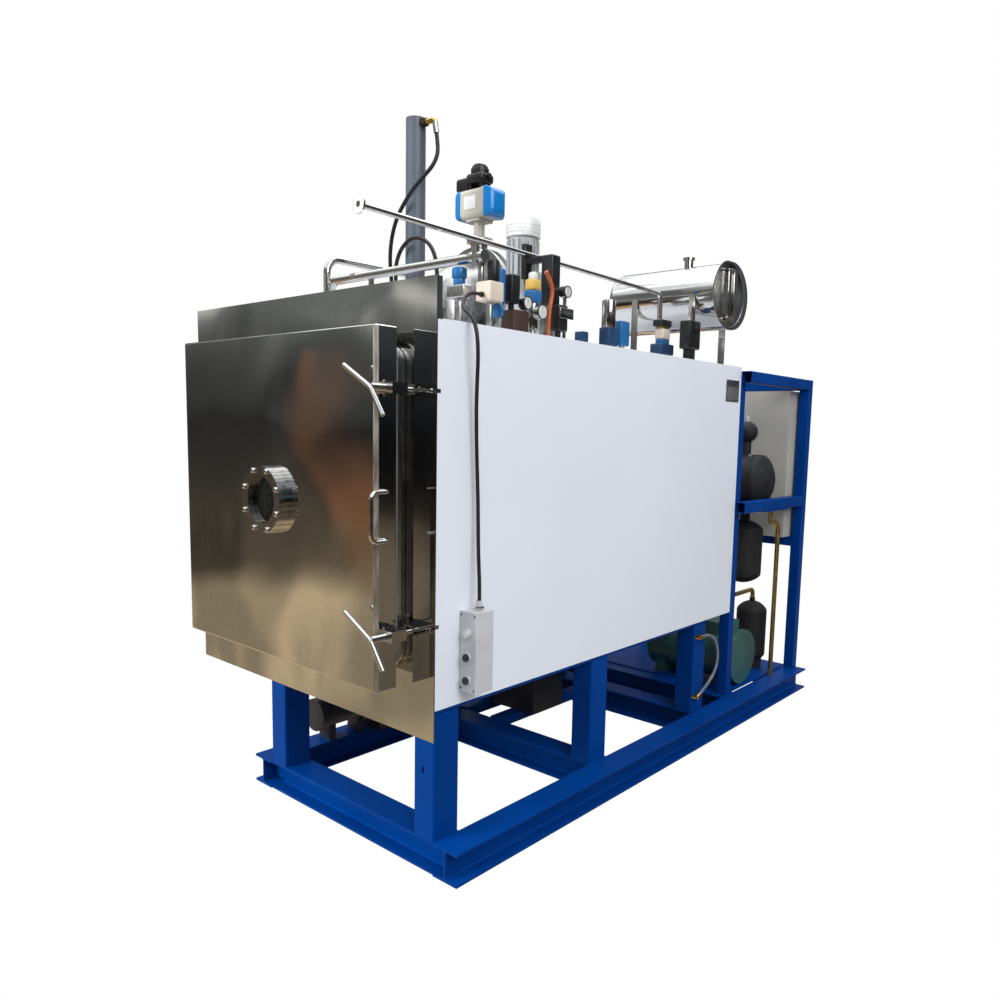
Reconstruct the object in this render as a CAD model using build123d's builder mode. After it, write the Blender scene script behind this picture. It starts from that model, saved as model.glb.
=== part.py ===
"""Freeze dryer on a welded base: chamber with a clamped door, shelf stack, cold trap, rear machinery bay.

Millimetres, +Z up, the door faces -Y. The origin is on the floor under the middle of the whole machine.
"""

import os
from math import asin, cos, pi, sin

from build123d import *

os.makedirs("parts", exist_ok=True)

# ---------------------------------------------------------------- driving sizes
surround_width = 1300.0
surround_height = 1300.0
surround_bottom = 400.0
plate = 4.0

base_length = 2490.0
base_width = 1050.0
base_overhang = 100.0

beam = 100.0
beam_flange = 8.0
beam_web = 6.0
beam_root = 8.0

post_width = 85.0
post_depth = 100.0
post_wall = 6.0
bearer = 80.0
cross_bearer = 60.0
bay_post = 50.0
bay_wall = 3.0

casing_depth = 1800.0
casing_width = 1020.0
skin = 3.0
fold = 20.0

chamber_width = 936.0
chamber_height = 876.0
chamber_bottom = 633.0
chamber_depth = 740.0
chamber_wall = 8.0
chamber_corner = 50.0
neck_reach = 108.0
flange_lip = 12.0

trim_width = 1000.0
trim_height = 960.0
trim_depth = 70.0

door_gap = 21.0
door_thick = 66.0
door_round = 6.0
door_skin = 4.0

port_bore = 142.0
port_ring = 200.0
port_ring_thick = 15.0
port_pane = 164.0
port_pane_thick = 10.0
port_bolt_circle = 184.0

handle_front = 246.0
pull_rod = 12.0
pull_length = 129.0

hinge_pin = 20.0
hinge_knuckle = 44.0
hinge_height = 30.0

spindle = 12.0
clamp_out = 32.0
clamp_spread = 320.0

shelf_width = 700.0
shelf_depth = 610.0
shelf_thick = 20.0
shelf_rod = 20.0
shelf_pitch = 200.0
ram_rod = 40.0
ram_tube = 66.0
ram_rise = 724.0

trap_diameter = 600.0
trap_rest = 67.0

duct = 219.0
duct_wall = 8.0
duct_rise = 197.0
valve_ring = 330.0
duct_bend = 115.0
valve_stem = 30.0

tank_diameter = 276.0
tank_length = 604.0

cabinet_width = 600.0
cabinet_depth = 110.0
cabinet_height = 730.0

gap = 0.3
running = 0.05

# ---------------------------------------------------------------- shared places
side_x = (surround_width - base_overhang) / 2
front_y = (handle_front - base_length) / 2
rear_y = front_y + base_length
base_right = side_x + base_overhang
base_left = base_right - base_width
base_inner_left = base_left + beam
base_inner_right = base_right - beam

casing_left = side_x - casing_width
casing_front = front_y + plate
roof_front = casing_front + fold + 1
casing_rear = front_y + casing_depth
centre_x = side_x - 10 - trim_width / 2
centre_z = chamber_bottom + chamber_height / 2
trim_right = centre_x + trim_width / 2
trim_left = centre_x - trim_width / 2
trim_bottom = centre_z - trim_height / 2
chamber_top = chamber_bottom + chamber_height
chamber_rear = front_y + chamber_depth

flange_y = front_y - neck_reach
door_back = flange_y - door_gap
door_front = door_back - door_thick

front_post_y = front_y + plate
mid_post_y = front_y + 757
third_post_y = front_y + casing_depth - 310
stand_rear = third_post_y + post_depth
stand_top = chamber_bottom
bearer_top = chamber_bottom - 73
post_top = bearer_top - bearer
right_post_x = side_x - skin - post_width
left_post_x = base_inner_left + 3
casing_bottom = post_top + 13
roof_z = chamber_top + 76
roof_top = roof_z + skin
ram_y = chamber_rear - 375
ram_top = roof_top + ram_rise
trap_front = chamber_rear + 60
trap_height = chamber_bottom + trap_rest + trap_diameter / 2
duct_front_y = ram_y + 155
duct_rear_y = trap_front + 150
duct_height = roof_top + duct_rise

bay_front = casing_rear
bay_rear = rear_y - bay_post
bay_right = side_x - bay_post
bay_left = base_inner_left - 30
bay_top = roof_z - 13


# ---------------------------------------------------------------- helpers
def block(x, y, z, mode=Mode.ADD):
    """Adds a block between the (low, high) pairs x, y and z to the piece being made."""
    with Locations((sum(x) / 2, sum(y) / 2, sum(z) / 2)):
        Box(x[1] - x[0], y[1] - y[0], z[1] - z[0], mode=mode)


def drum(start, direction, radius, length, mode=Mode.ADD):
    """Adds a round bar from the point start along direction."""
    with BuildSketch(Plane(origin=start, z_dir=direction)) as disc:
        Circle(radius)
    extrude(disc.sketch, amount=length, mode=mode)


def hexagon(start, direction, radius, length):
    """Adds a hexagonal bar from the point start along direction."""
    with BuildSketch(Plane(origin=start, z_dir=direction)) as six:
        RegularPolygon(radius, 6)
    extrude(six.sketch, amount=length)


def ring(start, direction, outer, inner, length):
    """Adds a round ring or straight pipe from the point start along direction."""
    with BuildSketch(Plane(origin=start, z_dir=direction)) as annulus:
        Circle(outer)
        Circle(inner, mode=Mode.SUBTRACT)
    extrude(annulus.sketch, amount=length)


def rounded_block(plane, width, height, corner, depth, mode=Mode.ADD):
    """Adds a block with four rounded edges that rises from the middle of a plane."""
    with BuildSketch(plane) as face:
        RectangleRounded(width, height, corner)
    extrude(face.sketch, amount=depth, mode=mode)


def vessel(start, direction, radius, length, head, mode=Mode.ADD):
    """Adds a drum of that straight length with a dished head at each end."""
    axis = Vector(*direction)
    side = Vector(0, 0, 1) if abs(axis.Z) < 0.5 else Vector(1, 0, 0)
    dome = (radius**2 + head**2) / (2 * head)
    slope = asin(radius / dome) / 2
    middle = (dome * (1 - cos(slope)), dome * sin(slope))
    end = length + head
    with BuildSketch(Plane(origin=start, x_dir=direction, z_dir=side)) as half:
        with BuildLine():
            ThreePointArc((-head, 0), (middle[0] - head, middle[1]), (0, radius))
            Line((0, radius), (length, radius))
            ThreePointArc((length, radius), (end - middle[0], middle[1]), (end, 0))
            Line((end, 0), (-head, 0))
        make_face()
        fillet(half.vertices().filter_by(lambda v: abs(v.Y - radius) < 1), radius=head / 2)
    revolve(half.sketch, axis=Axis(start, direction), mode=mode)


def square_tube(low, high, along, wall, corner=6.0):
    """Adds a square or rectangular tube that fills the box low to high and runs along one axis."""
    size = [b - a for a, b in zip(low, high)]
    start = [(a + b) / 2 for a, b in zip(low, high)]
    axis = "xyz".index(along)
    start[axis] = low[axis]
    across = (0, 1, 0) if along == "x" else (1, 0, 0)
    normal = [(1, 0, 0), (0, 1, 0), (0, 0, 1)][axis]
    width = size[1] if along == "x" else size[0]
    height = size[1] if along == "z" else size[2]
    with BuildSketch(Plane(origin=tuple(start), x_dir=across, z_dir=normal)) as section:
        RectangleRounded(width, height, corner)
        RectangleRounded(width - 2 * wall, height - 2 * wall, corner - wall + 0.5, mode=Mode.SUBTRACT)
    extrude(section.sketch, amount=size[axis])


def i_beam(plane, length):
    """Adds a rolled I-beam that stands on the plane's origin and runs along its normal."""
    with BuildSketch(plane) as section:
        Rectangle(beam, beam, align=(Align.CENTER, Align.MIN))
        pocket = (beam - beam_web) / 2
        for side in (-1, 1):
            with Locations((side * (beam_web + pocket) / 2, beam / 2)):
                Rectangle(pocket, beam - 2 * beam_flange, mode=Mode.SUBTRACT)
        fillet(section.vertices().filter_by(lambda v: abs(v.X) < beam_web), radius=beam_root)
    extrude(section.sketch, amount=length)


def pipe(points, bends, outer, inner=0.0):
    """Adds a pipe or rod that follows straight runs joined by arcs of the radii in bends."""
    with BuildLine() as route:
        FilletPolyline(*points, radius=bends)
    path = route.line
    with BuildSketch(Plane(origin=path @ 0, z_dir=path % 0)) as section:
        Circle(outer)
        if inner:
            Circle(inner, mode=Mode.SUBTRACT)
    sweep(section.sketch, path=path)


def cord_bends(points):
    """Arc radii for a cord: each is as large as its two runs allow."""
    radii = []
    for before, here, after in zip(points, points[1:], points[2:]):
        run_in = Vector(*here) - Vector(*before)
        run_out = Vector(*after) - Vector(*here)
        half = run_in.get_angle(run_out) * pi / 360
        radii.append(0.45 * min(run_in.length, run_out.length) * cos(half) / sin(half))
    return radii


def cord(name, points, radius):
    """Adds a cord's tube along its points and prints its length and its tightest bend."""
    bends = cord_bends(points)
    pipe(points, bends, radius)
    print(name, "diameter", 2 * radius, "bend radii", [round(r) for r in bends])


def save(name, piece):
    """Labels a finished piece and writes it."""
    piece.label = name
    export_step(piece, f"parts/{name}.step")


# ---------------------------------------------------------------- base frame
cross_beam_ys = (
    front_post_y + beam / 2,
    mid_post_y + post_depth / 2,
    third_post_y + post_depth / 2,
    bay_front + beam / 2 - 25,
    rear_y - beam / 2,
)
floor_plate = 6.0
floor_top = beam + floor_plate
pump_bearer_xs = (centre_x - 250, centre_x - 50)

with BuildPart() as base_frame:
    for x in (base_left + beam / 2, base_right - beam / 2):
        i_beam(Plane(origin=(x, front_y, 0), x_dir=(-1, 0, 0), z_dir=(0, 1, 0)), base_length)
    cope = (beam - beam_web) / 2
    for y in cross_beam_ys:
        i_beam(
            Plane(origin=(base_inner_left, y, 0), x_dir=(0, 1, 0), z_dir=(1, 0, 0)),
            base_inner_right - base_inner_left,
        )
        block(
            (base_inner_left - cope, base_inner_right + cope),
            (y - beam_web / 2, y + beam_web / 2),
            (beam_flange + beam_root, beam - beam_flange - beam_root),
        )
    plate_y = (bay_front + bay_post + 10, bay_rear - 10)
    block((base_inner_left + 5, base_inner_right - 5), plate_y, (beam, floor_top))
    for x in (centre_x - 200, centre_x + 200):
        block((x - 4, x + 4), plate_y, (beam - 50, beam))
    for x in pump_bearer_xs:
        block((x - 30, x + 30), (mid_post_y + post_depth, third_post_y), (beam - 30, floor_top))
save("base_frame", base_frame.part)

# ---------------------------------------------------------------- chamber stand
cross_bearer_ys = (front_y + 90, chamber_rear - 130, trap_front + 160, trap_front + 620)
lift_slot = (8.0, 20.0)

with BuildPart() as stand_posts:
    for x in (left_post_x, right_post_x):
        for y in (front_post_y, mid_post_y, third_post_y):
            square_tube((x, y, beam), (x + post_width, y + post_depth, post_top), "z", post_wall)
    drum((side_x - skin, front_y + 1502, 432), (1, 0, 0), 9, 21)
    drum((side_x + 18, front_y + 1495, 432), (0, 1, 0), 9, 40)
    drum((side_x - skin, front_y + 1500, 170), (1, 0, 0), 9, 21)
    drum((side_x + 18, front_y + 1518, 178), (0, -37, -17), 9, 22)
    with Locations((side_x - 48, front_post_y + post_wall / 2, 307)):
        Box(lift_slot[0], 2 * post_wall, lift_slot[1], mode=Mode.SUBTRACT)

with BuildPart() as stand_bearers:
    for x in (left_post_x, side_x - skin - bearer):
        square_tube((x, front_post_y, post_top), (x + bearer, stand_rear, bearer_top), "y", 5)

with BuildPart() as stand_cross_bearers:
    for y in cross_bearer_ys:
        square_tube((casing_left + skin, y, bearer_top), (side_x - skin, y + cross_bearer, stand_top), "x", 4)

# The tubes of the stand are welded where they meet, and stay solids of their own.
stand_tubes = (stand_posts, stand_bearers, stand_cross_bearers)
save("chamber_stand", Compound([tube for group in stand_tubes for tube in group.part.solids()]))

# ---------------------------------------------------------------- rear bay frame
mid_rail = floor_top + 839
vessel_y = casing_rear + 350
cabinet_low = bay_top - bay_post - 7 - cabinet_height
cabinet_rail = cabinet_low - bay_post

with BuildPart() as rear_frame_posts:
    for x, y in ((bay_left, bay_front), (bay_left, bay_rear), (bay_right, bay_front), (side_x, bay_rear)):
        square_tube((x, y, beam), (x + bay_post, y + bay_post, bay_top), "z", bay_wall, 4)
save("rear_frame_posts", rear_frame_posts.part)

with BuildPart() as rear_frame_rails:
    for x, y in ((bay_left, bay_front + bay_post), (side_x, bay_front)):
        for z in (mid_rail, bay_top - bay_post):
            square_tube((x, y, z), (x + bay_post, bay_rear, z + bay_post), "y", bay_wall, 4)
    for y, right in ((bay_front, bay_right), (bay_rear, side_x)):
        low = (bay_left + bay_post, y, bay_top - bay_post)
        square_tube(low, (right, y + bay_post, bay_top), "x", bay_wall, 4)
    low = (bay_left + bay_post, bay_rear, cabinet_rail)
    square_tube(low, (side_x, bay_rear + bay_post, cabinet_rail + bay_post), "x", bay_wall, 4)
    block((bay_left, side_x + bay_post), (vessel_y - 130, vessel_y + 120), (mid_rail - 6, mid_rail))
save("rear_frame_rails", rear_frame_rails.part)

# ---------------------------------------------------------------- casing
neck_clear = 2.0
neck_plane = Plane(origin=(centre_x, front_y, centre_z), x_dir=(1, 0, 0), z_dir=(0, -1, 0))
into_plane = Plane(origin=(centre_x, front_y, centre_z), x_dir=(-1, 0, 0), z_dir=(0, 1, 0))

with BuildPart() as front_surround:
    surround_left = side_x - surround_width
    surround_top = surround_bottom + surround_height
    fold_right = side_x - skin - 1
    block((surround_left, side_x), (front_y, front_y + plate), (surround_bottom, surround_top))
    block((surround_left, fold_right), (front_y + plate, front_y + plate + fold), (surround_bottom, surround_top))
    block(
        (surround_left + plate, fold_right - plate),
        (front_y + plate, front_y + plate + fold),
        (surround_bottom + plate, surround_top - plate),
        mode=Mode.SUBTRACT,
    )
    opening = (chamber_width + 2 * neck_clear, chamber_height + 2 * neck_clear)
    rounded_block(into_plane, *opening, chamber_corner + neck_clear, 2 * plate, mode=Mode.SUBTRACT)
    block(
        (left_post_x - 1, left_post_x + post_width + 1),
        (front_y + plate, front_y + 40),
        (surround_bottom, surround_bottom + plate),
        mode=Mode.SUBTRACT,
    )
    block(
        (right_post_x - 1, side_x),
        (front_y + plate, front_y + 40),
        (surround_bottom, bearer_top + 1),
        mode=Mode.SUBTRACT,
    )
save("front_surround", front_surround.part)

with BuildPart() as side_panel_right:
    block((side_x - skin, side_x), (casing_front, casing_rear - skin), (casing_bottom, roof_z))
    inner = (side_x - skin - fold, side_x - skin)
    block(inner, (casing_rear - 2 * skin, casing_rear - skin), (stand_top + 1, roof_z))
    block(inner, (roof_front, casing_rear - skin), (roof_z - skin, roof_z))
save("side_panel_right", side_panel_right.part)

with BuildPart() as side_panel_left:
    block((casing_left, casing_left + skin), (casing_front, casing_rear - skin), (casing_bottom, roof_z))
    inner = (casing_left + skin, casing_left + skin + fold)
    block(inner, (casing_front, casing_front + skin), (stand_top + 1, roof_z))
    block(inner, (casing_rear - 2 * skin, casing_rear - skin), (stand_top + 1, roof_z))
    block(inner, (casing_front, casing_rear - skin), (roof_z - skin, roof_z))
save("side_panel_left", side_panel_left.part)

hole_clear = 4.0

with BuildPart() as roof_panel:
    block((casing_left, side_x), (roof_front, casing_rear), (roof_z, roof_top))
    drum((centre_x, ram_y, roof_z), (0, 0, 1), ram_tube / 2 + 1, skin, mode=Mode.SUBTRACT)
    for y in (duct_front_y, duct_rear_y):
        drum((centre_x, y, roof_z), (0, 0, 1), duct / 2 + hole_clear, skin, mode=Mode.SUBTRACT)
save("roof_panel", roof_panel.part)

with BuildPart() as rear_panel:
    block((casing_left, side_x), (casing_rear - skin, casing_rear), (casing_bottom, roof_z))
save("rear_panel", rear_panel.part)

# ---------------------------------------------------------------- chamber
lip_thick = 12.0
duct_bore = duct - 2 * duct_wall
neck_front = Plane(origin=(centre_x, flange_y, centre_z), x_dir=(-1, 0, 0), z_dir=(0, 1, 0))
bore_plane = neck_front

with BuildPart() as chamber_shell:
    rounded_block(neck_front, chamber_width, chamber_height, chamber_corner, chamber_rear - flange_y)
    lip_size = (chamber_width + 2 * flange_lip, chamber_height + 2 * flange_lip)
    rounded_block(neck_front, *lip_size, chamber_corner + flange_lip, lip_thick)
    bore_size = (chamber_width - 2 * chamber_wall, chamber_height - 2 * chamber_wall)
    bore_depth = chamber_rear - flange_y - chamber_wall
    rounded_block(bore_plane, *bore_size, chamber_corner - chamber_wall, bore_depth, mode=Mode.SUBTRACT)
    drum((centre_x, ram_y, chamber_top - 20), (0, 0, 1), ram_rod / 2 + 1, 40, mode=Mode.SUBTRACT)
    drum((centre_x, duct_front_y, chamber_top - 20), (0, 0, 1), duct_bore / 2, 40, mode=Mode.SUBTRACT)
save("chamber_shell", chamber_shell.part)

trim_front = Plane(origin=(centre_x, front_y, centre_z), x_dir=(1, 0, 0), z_dir=(0, -1, 0))

with BuildPart() as trim_frame:
    rounded_block(trim_front, trim_width, trim_height, 3, trim_depth)
    hollow = (trim_width - 2 * plate, trim_height - 2 * plate)
    rounded_block(trim_front, *hollow, 1, trim_depth - plate, mode=Mode.SUBTRACT)
    opening = (chamber_width + 2 * neck_clear, chamber_height + 2 * neck_clear)
    rounded_block(trim_front, *opening, chamber_corner + neck_clear, trim_depth, mode=Mode.SUBTRACT)
save("trim_frame", trim_frame.part)

gasket_width = 14.0

with BuildPart() as door_gasket:
    gasket_plane = Plane(origin=(centre_x, flange_y, centre_z), x_dir=(1, 0, 0), z_dir=(0, -1, 0))
    gasket_size = (chamber_width + 4, chamber_height + 4)
    rounded_block(gasket_plane, *gasket_size, chamber_corner + 2, door_gap - gap)
    gasket_size = (chamber_width + 4 - 2 * gasket_width, chamber_height + 4 - 2 * gasket_width)
    rounded_block(gasket_plane, *gasket_size, chamber_corner + 2 - gasket_width, door_gap, mode=Mode.SUBTRACT)
save("door_gasket", door_gasket.part)

# ---------------------------------------------------------------- door
outward = (0, -1, 0)
inward = (0, 1, 0)
back_plate = door_skin
pan_back = door_back - back_plate
pan_plane = Plane(origin=(centre_x, pan_back, centre_z), x_dir=(1, 0, 0), z_dir=outward)
bolt_length = 25.0
bolt_radius = 5.0

with BuildPart() as door_shell:
    rounded_block(pan_plane, trim_width, trim_height, door_round, pan_back - door_front)
    fillet(door_shell.faces().sort_by(Axis.Y)[0].edges(), radius=door_round - 1)
    hollow = (trim_width - 2 * door_skin, trim_height - 2 * door_skin)
    pan_depth = pan_back - door_front - door_skin
    rounded_block(pan_plane, *hollow, door_round - door_skin, pan_depth - door_round, mode=Mode.SUBTRACT)
    step_y = pan_back - pan_depth + door_round
    step = Plane(origin=(centre_x, step_y, centre_z), x_dir=(1, 0, 0), z_dir=outward)
    hollow = (hollow[0] - 1.2 * door_round, hollow[1] - 1.2 * door_round)
    rounded_block(step, *hollow, door_round, door_round, mode=Mode.SUBTRACT)
    drum((centre_x, door_front, centre_z), outward, port_ring / 2, port_ring_thick)
    drum((centre_x, pan_back, centre_z), outward, port_bore / 2, 200, mode=Mode.SUBTRACT)
    seat_y = door_front - port_ring_thick
    drum((centre_x, seat_y, centre_z), inward, port_pane / 2, port_pane_thick, mode=Mode.SUBTRACT)
    with Locations(Plane(origin=(centre_x, seat_y, centre_z), x_dir=(1, 0, 0), z_dir=inward)):
        with PolarLocations(port_bolt_circle / 2, 8, start_angle=22.5):
            Cylinder(bolt_radius, 2 * (port_ring_thick - 3), mode=Mode.SUBTRACT)
save("door_shell", door_shell.part)

port_tube_wall = 4.0

with BuildPart() as door_back_plate:
    plate_plane = Plane(origin=(centre_x, door_back, centre_z), x_dir=(1, 0, 0), z_dir=outward)
    rounded_block(plate_plane, trim_width, trim_height, door_round, back_plate)
    tube_length = door_back - door_front - door_skin
    drum((centre_x, door_back, centre_z), outward, port_bore / 2 + port_tube_wall, tube_length)
    drum((centre_x, door_back, centre_z), outward, port_bore / 2, 200, mode=Mode.SUBTRACT)
save("door_back_plate", door_back_plate.part)

with BuildPart() as sight_glass_ring:
    ring((centre_x, seat_y, centre_z), outward, port_ring / 2, port_bore / 2, port_ring_thick)
    with Locations(Plane(origin=(centre_x, seat_y, centre_z), x_dir=(1, 0, 0), z_dir=inward)):
        with PolarLocations(port_bolt_circle / 2, 8, start_angle=22.5):
            Cylinder(bolt_radius, 4 * port_ring_thick, mode=Mode.SUBTRACT)
save("sight_glass_ring", sight_glass_ring.part)

with BuildPart() as sight_glass_pane:
    drum((centre_x, seat_y, centre_z), inward, port_pane / 2, port_pane_thick)
save("sight_glass_pane", sight_glass_pane.part)

with BuildPart() as sight_glass_bolts:
    ring_face = seat_y - port_ring_thick
    for turn in range(8):
        angle = (turn + 0.5) * pi / 4
        x = centre_x + port_bolt_circle / 2 * cos(angle)
        z = centre_z + port_bolt_circle / 2 * sin(angle)
        drum((x, ring_face, z), inward, bolt_radius, bolt_length)
        drum((x, ring_face, z), outward, 8, 8)
    fillet(sight_glass_bolts.faces().sort_by(Axis.Y)[:8].edges(), radius=5)
save("sight_glass_bolts", sight_glass_bolts.part)

pull_out = 14.0
pull_leg = 58.0
pull_seat = door_back - 36

with BuildPart() as door_pull_handle:
    x = trim_right + pull_out
    low = centre_z - 8.5 - pull_length / 2
    high = low + pull_length
    front = pull_seat - pull_leg
    pipe(
        [
            (trim_right, pull_seat, low),
            (x, pull_seat, low),
            (x, front, low),
            (x, front, high),
            (x, pull_seat, high),
            (trim_right, pull_seat, high),
        ],
        [pull_out - 2, 20, 20, pull_out - 2],
        pull_rod / 2,
    )
save("door_pull_handle", door_pull_handle.part)

# ---------------------------------------------------------------- door hinges
hinge_x = trim_left - 35
hinge_y = door_back - 21
hinge_zs = (centre_z - 300, centre_z + 300)
lug_thick = 14.0
lug_gap = 0.5
bracket_foot = 12.0

with BuildPart() as door_hinge_arms:
    for z in hinge_zs:
        drum((hinge_x, hinge_y, z - hinge_height / 2), (0, 0, 1), hinge_knuckle / 2, hinge_height)
        half = hinge_height / 2
        block((hinge_x, trim_left), (hinge_y - 12, hinge_y + 12), (z - half, z + half))
        pin_hole = hinge_pin / 2 + running
        drum((hinge_x, hinge_y, z - 50), (0, 0, 1), pin_hole, 100, mode=Mode.SUBTRACT)
save("door_hinge_arms", door_hinge_arms.part)

with BuildPart() as hinge_brackets:
    half = hinge_knuckle / 2
    for z in hinge_zs:
        reach = hinge_height / 2 + lug_gap + lug_thick
        foot_x = (hinge_x - half - 6, trim_left - 1)
        block(foot_x, (front_y - bracket_foot, front_y), (z - reach - 14, z + reach + 14))
        for side in (-1, 1):
            low = z + side * (hinge_height / 2 + lug_gap)
            high = low + side * lug_thick
            lug = (min(low, high), max(low, high))
            block((hinge_x - half, hinge_x + half), (hinge_y, front_y - bracket_foot), lug)
            drum((hinge_x, hinge_y, lug[0]), (0, 0, 1), half, lug_thick)
        drum((hinge_x, hinge_y, z - 60), (0, 0, 1), hinge_pin / 2, 120, mode=Mode.SUBTRACT)
save("hinge_brackets", hinge_brackets.part)

with BuildPart() as hinge_pins:
    for z in hinge_zs:
        reach = hinge_height / 2 + lug_gap + lug_thick
        drum((hinge_x, hinge_y, z - reach - 2), (0, 0, 1), hinge_pin / 2, 2 * reach + 2)
        drum((hinge_x, hinge_y, z + reach), (0, 0, 1), hinge_pin / 2 + 4, 6)
save("hinge_pins", hinge_pins.part)

# ---------------------------------------------------------------- door clamps
clamp_x = trim_right + clamp_out
clamp_zs = {"lower": centre_z - clamp_spread, "upper": centre_z + clamp_spread}
clamp_block_front = door_back - 59
clamp_block_rear = door_back - 9
clamp_block_half = 15.0
slot_half = 7.25
jaw = 6.0
jaw_front = front_y - 99
jaw_rear = front_y - 41
head_front = front_y - 36
head_rear = front_y - 22
head_length = 40.0
head_height = 11.0
grip_rod = 13.0

with BuildPart() as clamp_brackets:
    for z in clamp_zs.values():
        reach = (trim_right, clamp_x + spindle / 2 + 17)
        block(reach, (clamp_block_front, clamp_block_rear), (z - clamp_block_half, z + clamp_block_half))
        drum((clamp_x, clamp_block_front, z), inward, spindle / 2 + running, 60, mode=Mode.SUBTRACT)
        for y in (clamp_block_front + 13, clamp_block_front + 36):
            hexagon((trim_right + 13, y, z + clamp_block_half), (0, 0, 1), 7, 6)
            hexagon((trim_right + 13, y, z - clamp_block_half), (0, 0, -1), 7, 6)
save("clamp_brackets", clamp_brackets.part)

with BuildPart() as clamp_keepers:
    for z in clamp_zs.values():
        outer = slot_half + jaw
        block((trim_right, trim_right + 6), (jaw_front, front_y), (z - outer, z + outer))
        for side in (-1, 1):
            low = z + side * slot_half
            high = z + side * outer
            block((trim_right, clamp_x + 23), (jaw_front, jaw_rear), (min(low, high), max(low, high)))
save("clamp_keepers", clamp_keepers.part)

for end, z in clamp_zs.items():
    with BuildPart() as clamp_spindle:
        grip_y = front_y - handle_front + grip_rod / 2
        drum((clamp_x, grip_y, z), inward, spindle / 2, head_rear - grip_y)
        drum((clamp_x, grip_y, z), inward, 11, clamp_block_front - gap - grip_y)
        drum((clamp_x, clamp_block_rear + gap, z), inward, 10, 7)
        block(
            (clamp_x - head_length / 2, clamp_x + head_length / 2),
            (head_front, head_rear),
            (z - head_height / 2, z + head_height / 2),
        )
        pipe(
            [
                (clamp_x - 105, grip_y, z + 56),
                (clamp_x, grip_y, z),
                (clamp_x + 50, grip_y, z - 70),
            ],
            [40],
            grip_rod / 2,
        )
    save(f"{end}_clamp_spindle", clamp_spindle.part)

# ---------------------------------------------------------------- shelf stack
shelf_bottom_z = chamber_bottom + 67
plate_thick = 30.0
plate_z = shelf_bottom_z + 3 * shelf_pitch
ceiling = chamber_top - chamber_wall
rod_inset = 30.0
rod_clear = 0.5
shelf_x = (centre_x - shelf_width / 2, centre_x + shelf_width / 2)
shelf_y = (ram_y - shelf_depth / 2, ram_y + shelf_depth / 2)
rod_places = [(x, y) for x in shelf_x for y in shelf_y]
rod_places = [(x + (rod_inset if x < centre_x else -rod_inset), y) for x, y in rod_places]
rod_places = [(x, y + (rod_inset if y < ram_y else -rod_inset)) for x, y in rod_places]

with BuildPart() as shelf_bottom:
    block(shelf_x, shelf_y, (shelf_bottom_z, shelf_bottom_z + shelf_thick))
    for x in (shelf_x[0] + 40, centre_x, shelf_x[1] - 40):
        block((x - 20, x + 20), shelf_y, (chamber_bottom + chamber_wall, shelf_bottom_z))
save("shelf_bottom", shelf_bottom.part)

for level, name in ((1, "shelf_middle"), (2, "shelf_upper"), (3, "pressure_plate")):
    with BuildPart() as shelf:
        low = shelf_bottom_z + level * shelf_pitch
        thick = plate_thick if level == 3 else shelf_thick
        block(shelf_x, shelf_y, (low, low + thick))
        for x, y in rod_places:
            drum((x, y, low), (0, 0, 1), shelf_rod / 2 + rod_clear, thick, mode=Mode.SUBTRACT)
    save(name, shelf.part)

with BuildPart() as shelf_guide_rods:
    for x, y in rod_places:
        foot = shelf_bottom_z + shelf_thick
        drum((x, y, foot), (0, 0, 1), shelf_rod / 2, ceiling - foot)
save("shelf_guide_rods", shelf_guide_rods.part)

tube_wall = 7.5
piston = 50.0
piston_low = ram_top - 185
gland_thick = 40.0

with BuildPart() as hydraulic_cylinder:
    drum((centre_x, ram_y, chamber_top), (0, 0, 1), ram_tube / 2, ram_top - chamber_top)
    drum((centre_x, ram_y, chamber_top), (0, 0, 1), ram_tube / 2 + 8, 16)
    drum((centre_x, ram_y, roof_top + 12), (0, 0, 1), ram_tube / 2 + 8, 14)
    port_z = ram_top - 20
    hexagon((centre_x + ram_tube / 2 - 4, ram_y, port_z), (1, 0, 0), 15, 22)
    elbow = [(centre_x + 30, ram_y, port_z), (centre_x + 92, ram_y, port_z), (centre_x + 101, ram_y, port_z - 45)]
    pipe(elbow, 12, 9)
    bore = ram_tube / 2 - tube_wall
    bore_low = chamber_top + gland_thick
    drum((centre_x, ram_y, bore_low), (0, 0, 1), bore, ram_top - 12 - bore_low, mode=Mode.SUBTRACT)
    drum((centre_x, ram_y, chamber_top), (0, 0, 1), ram_rod / 2 + running, gland_thick, mode=Mode.SUBTRACT)
save("hydraulic_cylinder", hydraulic_cylinder.part)

with BuildPart() as ram_plunger:
    drum((centre_x, ram_y, plate_z + plate_thick), (0, 0, 1), ram_rod / 2, piston_low - plate_z - plate_thick)
    drum((centre_x, ram_y, piston_low), (0, 0, 1), ram_tube / 2 - tube_wall - running, piston)
    drum((centre_x, ram_y, plate_z + plate_thick), (0, 0, 1), 60, 14)
save("ram_plunger", ram_plunger.part)

# ---------------------------------------------------------------- cold trap, duct and valve
trap_length = 800.0
trap_wall = 8.0
trap_radius = trap_diameter / 2
trap_low = trap_height - trap_radius
nozzle_top = trap_height + trap_radius + 20
duct_radius = duct / 2

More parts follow.
